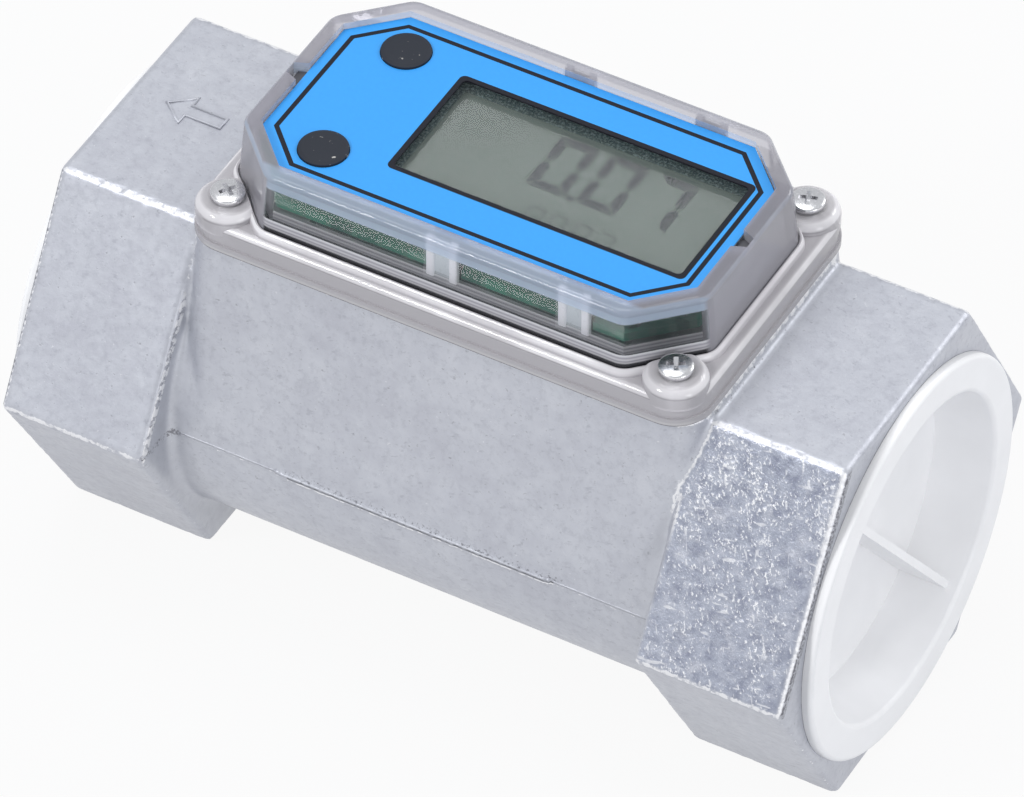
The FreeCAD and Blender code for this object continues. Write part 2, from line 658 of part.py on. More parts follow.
def makeLid():
    """The clear lid: a drafted octagonal cap with a rim round the label and posts inside."""
    body = startBody("display_lid")
    shell = startSketch(body, "XY_Plane", lidBottom)
    polygon(shell, octagonCorners("lidLength", "lidWidth", "lidCut"))
    pad(body, shell, "lidHeight", draft="-lidDraft")
    tall = plain("lidHeight") - 0.01
    soften(body, "lidCornerRound", lambda edge: edge.BoundBox.ZLength > tall)
    soften(body, "lidEdgeRound", lambda edge: level(edge, lidTop))
    hollow = startSketch(body, "XY_Plane", lidBottom)
    polygon(hollow, octagonCorners("lidLength", "lidWidth", "lidCut", "lidWall"))
    pocket(body, hollow, "%s - %s" % (plateUnder, lidBottom), up=True, draft="-lidDraft")

    posts = startSketch(body, "XY_Plane", boardUnder)
    across = "(lidWidth / 2 - lidWall - postInset + postRadius / 2)"
    for spot in ("postFirst", "postSecond"):
        for sy in (1, -1):
            circle(posts, spot, "%d * %s" % (sy, across), "postRadius")
    pad(body, posts, "%s - %s" % (plateUnder, boardUnder))
    bosses = startSketch(body, "XY_Plane", boardTopLevel)
    boardCircles(bosses, "boardBossRadius")
    pad(body, bosses, "%s - %s" % (plateUnder, boardTopLevel))

    seat = startSketch(body, "XY_Plane", lidTop)
    polygon(seat, octagonCorners("labelLength", "labelWidth", "labelCut", "-labelFit"))
    pocket(body, seat, "rimDepth + labelThickness")
    guides = startSketch(body, "XY_Plane", labelFloor)
    for sy in (1, -1):
        circle(guides, "buttonX", "%d * buttonY" % sy, "buttonRadius + buttonFit")
    pocket(body, guides, "plateThickness")
    notches = startSketch(body, "XY_Plane", lidTop)
    for sx in (1, -1):
        inner = "%d * (labelLength / 2 - 0.1)" % sx
        outer = "%d * (labelLength / 2 + notchLength)" % sx
        corners = [(inner, "notchWidth / 2"), (outer, "notchWidth / 4"),
                   (outer, "-notchWidth / 4"), (inner, "-notchWidth / 2")]
        polygon(notches, corners)
    pocket(body, notches, "notchDepth")
    drilled = startSketch(body, "XY_Plane", boardTopLevel)
    boardCircles(drilled, "boardScrewRadius + seatFit")
    pocket(body, drilled, "boardScrewGrip + 0.3", up=True)
    return body


def makeLabel():
    body = startBody("face_label")
    drawn = startSketch(body, "XY_Plane", labelFloor)
    polygon(drawn, octagonCorners("labelLength", "labelWidth", "labelCut"))
    roundedRectangle(drawn, "windowLength", "windowWidth", "windowRound", "windowX", "windowY")
    for sy in (1, -1):
        circle(drawn, "buttonX", "%d * buttonY" % sy, "buttonRadius + buttonFit")
    pad(body, drawn, "labelThickness")
    return body


def makeButton(name, side):
    """A domed key with a flange under the lid, standing just proud of the label."""
    body = startBody(name, along="displayOffset + buttonX")
    body.setExpression("Placement.Base.y", spell("%d * buttonY" % side))
    drawn = startSketch(body, "XZ_Plane")
    under = "(%s - buttonFlangeThickness)" % plateUnder
    edge = "(%s + buttonProud)" % plateTop
    polygon(drawn, [("0", under), ("buttonFlangeRadius", under), ("buttonFlangeRadius", plateUnder),
                    ("buttonRadius", plateUnder), ("buttonRadius", edge),
                    ("buttonRadius * 0.86", edge + " + buttonDome * 0.45"),
                    ("buttonRadius * 0.5", edge + " + buttonDome * 0.85"),
                    ("0", edge + " + buttonDome")])
    turn(body, drawn, "V_Axis")
    return body


def makeSwitch(name, side):
    """A low tactile switch, with a well for its plunger."""
    body = startBody(name, along="displayOffset + buttonX")
    body.setExpression("Placement.Base.y", spell("%d * buttonY" % side))
    case = startSketch(body, "XY_Plane", boardTopLevel)
    roundedRectangle(case, "switchWidth", "switchWidth", "0.5")
    pad(body, case, "switchHeight")
    well = startSketch(body, "XY_Plane", boardTopLevel + " + switchHeight")
    circle(well, "0", "0", "plungerRadius + plungerFit")
    pocket(body, well, "plungerDepth + buttonTravel")
    return body


def makePlunger(name, side):
    body = startBody(name, along="displayOffset + buttonX")
    body.setExpression("Placement.Base.y", spell("%d * buttonY" % side))
    foot = "(%s + switchHeight - plungerDepth)" % boardTopLevel
    drawn = startSketch(body, "XY_Plane", foot)
    circle(drawn, "0", "0", "plungerRadius")
    pad(body, drawn, "%s - buttonFlangeThickness - %s" % (plateUnder, foot))
    return body


def makeBoard():
    """The circuit board, notched round the lid's posts."""
    body = startBody("circuit_board")
    drawn = startSketch(body, "XY_Plane", boardUnder)
    inset = "lidWall + boardGap + " + lidShrink(boardTopLevel)
    polygon(drawn, octagonCorners("lidLength", "lidWidth", "lidCut", inset))
    boardCircles(drawn, "boardScrewRadius + boardScrewFit")
    pad(body, drawn, "boardThickness")
    across = "(lidWidth / 2 - lidWall - postInset + postRadius / 2)"
    notches = startSketch(body, "XY_Plane", boardTopLevel)
    for spot in ("postFirst", "postSecond"):
        for sy in (1, -1):
            circle(notches, spot, "%d * %s" % (sy, across), "postRadius + notchFit")
    pocket(body, notches, "boardThickness")
    return body


def slab(name, length, width, thickness, bottom, across="0", up="0", corner=None):
    """A flat piece with square or rounded corners, lying at a level."""
    body = startBody(name)
    drawn = startSketch(body, "XY_Plane", bottom)
    if corner:
        roundedRectangle(drawn, length, width, corner, across, up)
    else:
        rectangle(drawn, length, width, across, up)
    pad(body, drawn, thickness)
    return body


def rectangle(drawn, length, width, across="0", up="0"):
    polygon(drawn, [("%s + %d * (%s) / 2" % (across, sx, length), "%s + %d * (%s) / 2" % (up, sy, width))
                    for sx, sy in ((1, 1), (-1, 1), (-1, -1), (1, -1))])


def makeLcdFrame():
    """The teal frame that holds the glass down on its contact strips."""
    body = startBody("lcd_frame")
    drawn = startSketch(body, "XY_Plane", boardTopLevel)
    outerLength = "lcdLength + 2 * frameWall + 2 * frameFit"
    outerWidth = "lcdWidth + 2 * frameWall + 2 * frameFit"
    rectangle(drawn, outerLength, outerWidth, "windowX", "windowY")
    rectangle(drawn, "lcdLength + 2 * frameFit", "lcdWidth + 2 * frameFit", "windowX", "windowY")
    pad(body, drawn, "%s - %s" % (plateUnder, boardTopLevel))
    return body


def makeStrips():
    """Two rubber contact strips under the long edges of the glass."""
    body = startBody("lcd_contact_strips")
    drawn = startSketch(body, "XY_Plane", boardTopLevel)
    across = "(lcdWidth / 2 - stripInset - stripWidth / 2)"
    for sy in (1, -1):
        rectangle(drawn, "lcdLength - 2 * stripInset", "stripWidth", "windowX",
                  "windowY + %d * %s" % (sy, across))
    pad(body, drawn, "%s - lcdThickness - %s" % (plateUnder, boardTopLevel))
    return body


def makeCrystal():
    body = startBody("timing_crystal")
    drawn = startSketch(body, "YZ_Plane", "crystalX")
    circle(drawn, "chipY", boardUnder + " - crystalRadius", "crystalRadius")
    pad(body, drawn, "crystalLength")
    return body


def makeCells():
    """Two battery cells side by side, each with its raised contact."""
    body = startBody("battery_cells")
    for sy in (1, -1):
        for radius, length in (("cellRadius", "cellLength / 2"), ("nubRadius", "cellLength / 2 + nubLength")):
            drawn = startSketch(body, "YZ_Plane", "-cellLength / 2")
            circle(drawn, "%d * cellSpacing / 2" % sy, "pocketFloor + cellRise", radius)
            pad(body, drawn, "cellLength / 2 + " + length)
    return body


def makeHolder():
    """The black battery tray: two troughs open downwards and a way through for the coil."""
    body = startBody("battery_holder")
    foot = "(pocketFloor + holderRise)"
    roof = "(pocketFloor + cellRise + cellRadius + cellFit + holderRoof)"
    block = startSketch(body, "XY_Plane", foot)
    roundedRectangle(block, "holderLength", "holderWidth", "pocketRound")
    pad(body, block, "%s - %s" % (roof, foot))
    rim = startSketch(body, "XY_Plane", floorTop)
    roundedRectangle(rim, "holderLength + 2 * holderRim", "holderWidth + 2 * holderRim", "pocketRound")
    pad(body, rim, "holderRimThickness")
    trough = startSketch(body, "YZ_Plane", "0")
    for sy in (1, -1):
        centre = "%d * cellSpacing / 2" % sy
        circle(trough, centre, "pocketFloor + cellRise", "cellRadius + cellFit")
    pocket(body, trough, "cellLength + 2 * (nubLength + contactThickness + contactFit)", both=True)
    under = startSketch(body, "XY_Plane", foot)
    for sy in (1, -1):
        rectangle(under, "cellLength + 2 * (nubLength + contactThickness + contactFit)",
                  "2 * (cellRadius + cellFit)", "0", "%d * cellSpacing / 2" % sy)
    pocket(body, under, "cellRise - holderRise", up=True)
    way = startSketch(body, "XY_Plane", foot)
    circle(way, "-displayOffset", "0", "coilWell / 2 + bobbinRadius / 2")
    pocket(body, way, "%s - %s" % (roof, foot), up=True)
    return body


def makeContacts():
    """Contact plates at the ends of the cells."""
    body = startBody("battery_contacts")
    for sx in (1, -1):
        inner = "(cellLength / 2 + nubLength)" if sx > 0 else "(cellLength / 2)"
        for sy in (1, -1):
            lift = inner if sx > 0 else "-%s - contactThickness" % inner
            drawn = startSketch(body, "YZ_Plane", lift)
            rectangle(drawn, "contactWidth", "contactWidth", "%d * cellSpacing / 2" % sy,
                      "pocketFloor + cellRise")
            pad(body, drawn, "contactThickness")
    return body


def makeBobbin():
    body = startBody("pickup_bobbin", along="0")
    drawn = startSketch(body, "XZ_Plane")
    foot = "pocketFloor"
    head = "(pocketFloor + bobbinHeight)"
    bore = "(coreRadius + seatFit)"
    polygon(drawn, [(bore, foot), ("bobbinRadius", foot), ("bobbinRadius", foot + " + bobbinFlange"),
                    ("bobbinTube", foot + " + bobbinFlange"), ("bobbinTube", head + " - bobbinFlange"),
                    ("bobbinRadius", head + " - bobbinFlange"), ("bobbinRadius", head), (bore, head)])
    turn(body, drawn, "V_Axis")
    return body


def makeWinding():
    body = startBody("pickup_winding", along="0")
    drawn = startSketch(body, "XY_Plane", "pocketFloor + bobbinFlange")
    circle(drawn, "0", "0", "windingRadius")
    circle(drawn, "0", "0", "bobbinTube + seatFit")
    pad(body, drawn, "bobbinHeight - 2 * bobbinFlange")
    return body


def makeCore():
    body = startBody("pickup_core", along="0")
    drawn = startSketch(body, "XY_Plane", "pocketFloor")
    circle(drawn, "0", "0", "coreRadius")
    pad(body, drawn, "coreHeight")
    return body


def makePins():
    """The coil's two pins, from its upper flange to the board."""
    body = startBody("pickup_pins", along="0")
    drawn = startSketch(body, "XY_Plane", "pocketFloor + bobbinHeight")
    for sx in (1, -1):
        circle(drawn, "%d * pinSpacing / 2" % sx, "0", "pinRadius")
    pad(body, drawn, "%s - pocketFloor - bobbinHeight" % boardUnder)
    return body


def makeCaseScrews():
    """Four pan head screws through the base into the casting."""
    body = startBody("case_screws")
    shanks = startSketch(body, "XY_Plane", screwSeat)
    fourCircles(shanks, "screwSpacingX", "screwSpacingY", "screwRadius")
    pad(body, shanks, "screwLength", down=True)
    heads = startSketch(body, "XY_Plane", screwSeat)
    fourCircles(heads, "screwSpacingX", "screwSpacingY", "screwHeadRadius")
    pad(body, heads, "screwHeadHeight")
    soften(body, "screwHeadRound", lambda edge: level(edge, screwSeat + " + screwHeadHeight"))
    return body


def makeBoardScrews():
    """Four small screws that hold the board up against the lid's bosses."""
    body = startBody("board_screws")
    heads = startSketch(body, "XY_Plane", boardUnder)
    boardCircles(heads, "boardScrewHead")
    pad(body, heads, "boardScrewHeadHeight", down=True)
    shanks = startSketch(body, "XY_Plane", boardUnder)
    boardCircles(shanks, "boardScrewRadius")
    pad(body, shanks, "boardThickness + boardScrewGrip")
    return body


pieces = [makeMeterBody(), makeRotor(), makeShaft(), makeMagnets(), makeWashers()]
for port, turned in (("inlet", False), ("outlet", True)):
    pieces.append(makePlug(port + "_plug", turned))
    pieces.append(makeSupport(port + "_support", turned))
    pieces.append(makeBush(port + "_bush", turned))
    pieces.append(makeRetainingRing(port + "_retaining_ring", turned))
pieces += [makeBobbin(), makeWinding(), makeCore(), makePins()]
pieces += [makeHolder(), makeCells(), makeContacts()]
pieces += [makeDisplayBase(), makeGasket(), makeSeal(), makeLid(), makeLabel()]
for key, side in (("display", 1), ("calibrate", -1)):
    pieces.append(makeButton(key + "_button", side))
    pieces.append(makePlunger(key + "_plunger", side))
    pieces.append(makeSwitch(key + "_switch", side))
pieces += [makeBoard(), makeLcdFrame(), makeStrips(), makeCrystal()]
pieces.append(slab("lcd_glass", "lcdLength", "lcdWidth", "lcdThickness",
                   plateUnder + " - lcdThickness", "windowX", "windowY"))
pieces.append(slab("controller_chip", "chipWidth", "chipWidth", "chipHeight",
                   boardUnder + " - chipHeight", "chipX", "chipY"))
pieces += [makeCaseScrews(), makeBoardScrews()]

doc.recompute()
for found in doc.Objects:
    if "Invalid" in found.State or "Error" in found.State:
        raise ValueError(found.Name + " did not compute")
for piece in pieces:
    if piece.Shape.isNull() or not piece.Shape.isValid():
        raise ValueError(piece.Label + " has no valid shape")
os.makedirs("parts", exist_ok=True)
for piece in pieces:
    piece.Shape.exportStep("parts/%s.step" % piece.Label)
    print(piece.Label, len(piece.Shape.Solids), round(piece.Shape.Volume, 1))
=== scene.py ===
import bmesh
import bpy
import json
import math
from mathutils import Matrix, Vector, noise


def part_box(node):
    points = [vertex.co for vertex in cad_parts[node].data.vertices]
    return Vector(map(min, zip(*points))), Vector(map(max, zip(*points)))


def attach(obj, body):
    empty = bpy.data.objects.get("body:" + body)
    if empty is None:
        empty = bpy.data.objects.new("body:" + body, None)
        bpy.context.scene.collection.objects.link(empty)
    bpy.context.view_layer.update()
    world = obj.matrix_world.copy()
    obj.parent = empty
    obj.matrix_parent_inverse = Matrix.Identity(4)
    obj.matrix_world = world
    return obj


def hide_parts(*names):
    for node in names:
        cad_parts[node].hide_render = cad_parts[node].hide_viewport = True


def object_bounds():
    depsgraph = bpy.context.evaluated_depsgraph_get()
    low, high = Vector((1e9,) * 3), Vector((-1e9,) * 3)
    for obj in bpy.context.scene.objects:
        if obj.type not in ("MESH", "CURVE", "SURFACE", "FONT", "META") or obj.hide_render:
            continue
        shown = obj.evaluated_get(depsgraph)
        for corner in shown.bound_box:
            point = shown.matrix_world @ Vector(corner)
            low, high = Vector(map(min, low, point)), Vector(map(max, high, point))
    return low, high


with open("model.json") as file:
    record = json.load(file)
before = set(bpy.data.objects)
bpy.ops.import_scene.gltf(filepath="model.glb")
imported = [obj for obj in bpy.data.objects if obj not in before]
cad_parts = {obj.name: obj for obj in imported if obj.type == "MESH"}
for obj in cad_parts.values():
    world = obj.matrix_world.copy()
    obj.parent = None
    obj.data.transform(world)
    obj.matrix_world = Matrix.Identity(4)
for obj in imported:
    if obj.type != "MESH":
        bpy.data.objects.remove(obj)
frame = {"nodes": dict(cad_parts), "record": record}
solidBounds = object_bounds()
cad = frame["nodes"]
mm = 0.001
quarters = ((1, 1), (-1, 1), (-1, -1), (1, -1))
print("frame loaded,", len(cad), "nodes")


# places that everything is set out from

def middle(node):
    low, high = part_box(node)
    return (low + high) / 2


axisLevel = middle("rotor_shaft").z
housingX = middle("display_base").x
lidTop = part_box("display_lid")[1].z
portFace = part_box("meter_body")[1].x
hexTop = 2 * axisLevel


def aboveAxis(height):
    return axisLevel + height * mm


# camera

view = {
    "azimuth": 29.403,
    "elevation": 44.191,
    "distance": 1.5312,
    "target": (-0.00024, 0.0002, 0.03535),
    "lens": 344.7,
    "filmWidth": 36.0,
}


def setCamera():
    turn = math.radians(view["azimuth"])
    lift = math.radians(view["elevation"])
    back = Vector((math.sin(turn) * math.cos(lift), -math.cos(turn) * math.cos(lift), math.sin(lift)))
    data = bpy.data.cameras.new("camera")
    data.lens = view["lens"]
    data.sensor_width = view["filmWidth"]
    camera = bpy.data.objects.new("camera", data)
    camera.location = Vector(view["target"]) + back * view["distance"]
    camera.rotation_euler = back.to_track_quat("Z", "Y").to_euler()
    bpy.context.scene.collection.objects.link(camera)
    bpy.context.scene.camera = camera


setCamera()
print("camera set")


# mesh helpers

def addObject(name, data, finish=None):
    piece = bpy.data.objects.new(name, data)
    bpy.context.scene.collection.objects.link(piece)
    if finish:
        data.materials.clear()
        data.materials.append(finish)
    return piece


def shade(mesh, smooth):
    mesh.polygons.foreach_set("use_smooth", [smooth] * len(mesh.polygons))


def meshOf(name, work):
    mesh = bpy.data.meshes.new(name)
    work.to_mesh(mesh)
    work.free()
    return mesh


def meshFrom(name, verts, faces, smooth=True):
    mesh = bpy.data.meshes.new(name)
    mesh.from_pydata([tuple(v) for v in verts], [], faces)
    mesh.validate()
    work = bmesh.new()
    work.from_mesh(mesh)
    bmesh.ops.recalc_face_normals(work, faces=work.faces)
    work.to_mesh(mesh)
    work.free()
    shade(mesh, smooth)
    return mesh


def gridFaces(rings, around, closed=True):
    # the faces between rings of points; closed joins the last ring to the first
    faces = []
    for j in range(rings if closed else rings - 1):
        here, after = j * around, (j + 1) % rings * around
        for k in range(around):
            beside = (k + 1) % around
            faces.append((here + k, here + beside, after + beside, after + k))
    return faces


def addMarks(mesh, name, values):
    # one number for each point of a mesh, for its material to read
    made = mesh.attributes.new(name, "FLOAT", "POINT")
    made.data.foreach_set("value", values)


def place(piece, slot, *nodes):
    # a piece with no finish of its own takes its slot's
    materials = piece.data.materials
    if not materials:
        materials.clear()  # the faces of a curve's mesh keep numbers of their own until this
        materials.append(finishes[slot])
    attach(piece, "meter")
    if nodes:
        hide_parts(*nodes)
    return piece


def applied(piece):
    # the mesh of a piece with its modifiers done
    graph = bpy.context.evaluated_depsgraph_get()
    return bpy.data.meshes.new_from_object(piece.evaluated_get(graph))


def octagon(halfX, halfY, cut):
    corners = []
    for sx, sy in ((1, -1), (1, 1), (-1, 1), (-1, -1)):
        side = (sx * halfX, sy * (halfY - cut))
        front = (sx * (halfX - cut), sy * halfY)
        corners += [front, side] if sx * sy < 0 else [side, front]
    return corners


def roundedBox(halfX, halfY, radius, steps=6):
    corners = []
    for k, (sx, sy) in enumerate(quarters):
        for s in range(steps + 1):
            angle = (k + s / steps) * math.pi / 2
            corners.append((sx * (halfX - radius) + radius * math.cos(angle),
                            sy * (halfY - radius) + radius * math.sin(angle)))
    return corners


def circleLine(radius, across=0.0, up=0.0, count=72):
    turns = [2 * math.pi * k / count for k in range(count)]
    return [(across + radius * math.cos(turn), up + radius * math.sin(turn)) for turn in turns]


def moved(corners, across, up):
    return [(x + across, y + up) for x, y in corners]


def addLine(curve, points):
    line = curve.splines.new("POLY")
    line.points.add(len(points) - 1)
    for point, spot in zip(line.points, points):
        point.co = (*spot, 1)
    line.use_cyclic_u = True


def curveMesh(name, curve):
    holder = addObject(name, curve)
    mesh = applied(holder)
    bpy.data.objects.remove(holder)
    return mesh


def filmPiece(name, outlines, bottom, top, finish=None):
    # a flat piece between two levels; the first outline is its edge and the rest are holes
    curve = bpy.data.curves.new(name, "CURVE")
    curve.dimensions = "2D"
    curve.fill_mode = "BOTH"
    for corners in outlines:
        addLine(curve, [(x * mm, y * mm, 0) for x, y in corners])
    curve.extrude = (top - bottom) / 2
    mesh = curveMesh(name + "Curve", curve)
    mesh.name = name
    mesh.transform(Matrix.Translation((housingX, 0, (top + bottom) / 2)))
    shade(mesh, False)
    return addObject(name, mesh, finish)


# finishes

def newFinish(name, colour, roughness, metallic=0.0):
    finish = bpy.data.materials.new(name)
    finish.use_nodes = True
    shader = finish.node_tree.nodes["Principled BSDF"]
    shader.inputs["Base Color"].default_value = (*colour, 1)
    shader.inputs["Roughness"].default_value = roughness
    shader.inputs["Metallic"].default_value = metallic
    finish.diffuse_color = (*colour, 1)
    return finish, finish.node_tree, shader


def node(tree, kind, **settings):
    made = tree.nodes.new(kind)
    for key, value in settings.items():
        if key in made.inputs:
            made.inputs[key].default_value = value
        else:
            setattr(made, key, value)
    return made


def feed(socket, value):
    # links another socket to this one, or sets it to a number or a colour
    if hasattr(value, "is_linked"):
        socket.id_data.links.new(value, socket)
    else:
        socket.default_value = (*value, 1) if isinstance(value, tuple) else value


def tint(shader, colour):
    feed(shader.inputs["Base Color"], colour)


def objectPlace(tree):
    return node(tree, "ShaderNodeTexCoord").outputs["Object"]


def axesOf(tree, what):
    # a point's place, or the way that its face looks, as x, y and z
    made = node(tree, "ShaderNodeSeparateXYZ")
    feed(made.inputs["Vector"], node(tree, "ShaderNodeTexCoord").outputs[what])
    return made.outputs


def grain(tree, scale, detail=3.0, roughness=0.5, stretch=None, turn=None):
    # a noise value in the part's own metres; scale is grains to the millimetre
    source = objectPlace(tree)
    for key, value in (("Rotation", turn), ("Scale", stretch)):
        if value:
            mapping = node(tree, "ShaderNodeMapping", **{key: value})
            feed(mapping.inputs["Vector"], source)
            source = mapping.outputs["Vector"]
    made = node(tree, "ShaderNodeTexNoise", Scale=scale / mm, Detail=detail, Roughness=roughness)
    feed(made.inputs["Vector"], source)
    return made.outputs["Fac"]


def ramp(value, stops):
    made = node(value.id_data, "ShaderNodeValToRGB")
    steps = made.color_ramp.elements
    while len(steps) < len(stops):
        steps.new(0.5)
    for step, (spot, colour) in zip(steps, stops):
        step.position = spot
        step.color = (*colour, 1) if isinstance(colour, tuple) else (colour, colour, colour, 1)
    feed(made.inputs["Fac"], value)
    return made.outputs["Color"]


def rise(value, start, full, least=0.0, most=1.0):
    # least up to start and most from full on: numbers or colours
    return ramp(value, ((start, least), (full, most)))


def overGrain(value, least, most):
    # from one tone to another over the values that a grain mostly has
    return rise(value, 0.3, 0.7, least, most)


def hump(value, start, full, fading, gone):
    return ramp(value, ((start, 0.0), (full, 1.0), (fading, 1.0), (gone, 0.0)))


def blendColour(share, first, second):
    made = node(share.id_data, "ShaderNodeMix", data_type="RGBA")
    for socket, value in ((0, share), (6, first), (7, second)):
        feed(made.inputs[socket], value)
    return made.outputs[2]


def maths(how, *values, tree=None):
    tree = tree or next(value.id_data for value in values if hasattr(value, "is_linked"))
    made = node(tree, "ShaderNodeMath", operation=how)
    for socket, value in zip(made.inputs, values):
        feed(socket, value)
    return made.outputs[0]


def plus(first, second):
    return maths("ADD", first, second)


def minus(first, second):
    return maths("SUBTRACT", first, second)


def times(first, second):
    return maths("MULTIPLY", first, second)


def larger(first, second):
    return maths("MAXIMUM", first, second)


def between(share, low, high):
    # low where the share is nothing, high where it is all
    apart = maths("SUBTRACT", high, low, tree=share.id_data)
    return plus(times(apart, share), low)


def bump(shader, height, strength, distance):
    made = node(shader.id_data, "ShaderNodeBump", Strength=strength, Distance=distance * mm)
    feed(made.inputs["Height"], height)
    feed(shader.inputs["Normal"], made.outputs["Normal"])


def mouldedPlastic(name, colour, roughness=0.45, depth=0.02, scale=1.6, vary=0.06):
    # moulded plastic: faint cloudiness, fine grain and a slightly uneven gloss
    finish, tree, shader = newFinish(name, colour, roughness)
    dark = tuple(c * (1 - vary) for c in colour)
    light = tuple(min(1, c * (1 + vary)) for c in colour)
    tint(shader, overGrain(grain(tree, scale * 0.12, 2.0), dark, light))
    fine = grain(tree, scale, 4.0, 0.6)
    feed(shader.inputs["Roughness"], overGrain(fine, roughness * 0.85, min(1, roughness * 1.15)))
    bump(shader, fine, 0.25, depth)
    return finish


def turnedMetal(name, colour, roughness=0.28, stretch=(0.12, 1, 1), scale=3.0):
    # drawn or turned metal: fine lines that run one way
    finish, tree, shader = newFinish(name, colour, roughness, 1.0)
    lines = grain(tree, scale, 3.0, 0.6, stretch)
    tint(shader, overGrain(lines, tuple(c * 0.88 for c in colour), colour))
    feed(shader.inputs["Roughness"], overGrain(lines, roughness * 0.8, roughness * 1.3))
    bump(shader, lines, 0.2, 0.01)
    return finish


castTints = {
    "plain": (0.525, 0.54, 0.593),
    "stain": (0.475, 0.485, 0.54),
    # the lighter mottling, and the painted highlight on the fillets
    "bright": (0.57, 0.585, 0.635),
    "scratch": (0.37, 0.38, 0.43),
    "pit": (0.15, 0.15, 0.17),
    # near white for bright flecks, worn edges, painted glints and painted edge highlights
    "fleck": (0.88, 0.88, 0.90),
    # near black: painted shade in the crevice above the flash
    "creviceShade": (0.035, 0.035, 0.04),
    "blasted": (0.415, 0.44, 0.52),
    "blastedShade": (0.27, 0.29, 0.37),
}
castGloss = {
    "metallic": 0.55,
    "roughness": 0.42,
    "smooth": 0.36,
    "rough": 0.50,
    "blasted": 0.32,
    "bump": 0.5,
    "depth": 0.06,
}
castMarks = (
    # tint, its strength, where in the grain it starts and is full, then the grain
    ("pit", 0.5, 0.635, 0.72, 1.2, 4.0, 0.65),
    ("scratch", 0.42, 0.50, 0.66, 0.75, 6.0, 0.75),
    ("scratch", 0.5, 0.62, 0.70, 1.3, 3.0, 0.6, (0.22, 1, 1), (0.5, 0.3, 0.5)),
    # painted glints: sparse bright flecks that stand in for the metal's sparkle
    ("fleck", 0.4, 0.69, 0.76, 1.5, 3.0, 0.6, (0.5, 1, 1), (0.4, 0.2, 0.8)),
)

blastedFace = {
    "tilt": 30,
    "scores": ((-0.12, 0.8), (1.25, 1.3)),
    # mm in from the face and from the port's end
    "onFace": (0.55, 0.35),
    "band": (1.80, 1.60, 0.55, 0.40),
    "endLine": (0.85, 0.65),
    # shares: of the face's mark, the height, the way a point faces, and half the length
    "turning": (0.10, 0.30, 0.75, 0.95),
    "high": (0.74, 0.80),
    "outward": (0.70, 0.90),
    "portHalf": (0.45, 0.55),
}


def blastedRim(tree, blasted):
    # the rim at the face's end and inner corner, whose bright flecks are partly wear and partly painted
    # edge highlight, and the bands on the hexagon's outer and inner ends
    a = blastedFace
    spot = axesOf(tree, "Object")
    tilt = math.radians(a["tilt"])
    back, up = times(spot["Y"], -math.cos(tilt) / axisLevel), times(spot["Z"], math.sin(tilt) / axisLevel)
    out = minus(plus(back, up), math.sin(tilt))
    along = times(spot["X"], 1 / portFace)
    height = times(spot["Z"], 0.5 / axisLevel)

    def near(total, places):
        return [1 - inward * mm / total for inward in places]

    end = times(rise(along, *near(portFace, a["endLine"])), rise(out, *near(axisLevel, a["onFace"])))
    corner = times(hump(blasted, *a["turning"]), rise(height, *a["high"]))
    band = times(hump(out, *near(axisLevel, a["band"])), rise(axesOf(tree, "Normal")["X"], *a["outward"]))
    outer = rise(along, *a["portHalf"])
    return larger(end, corner), times(band, outer), times(band, minus(1.0, outer))


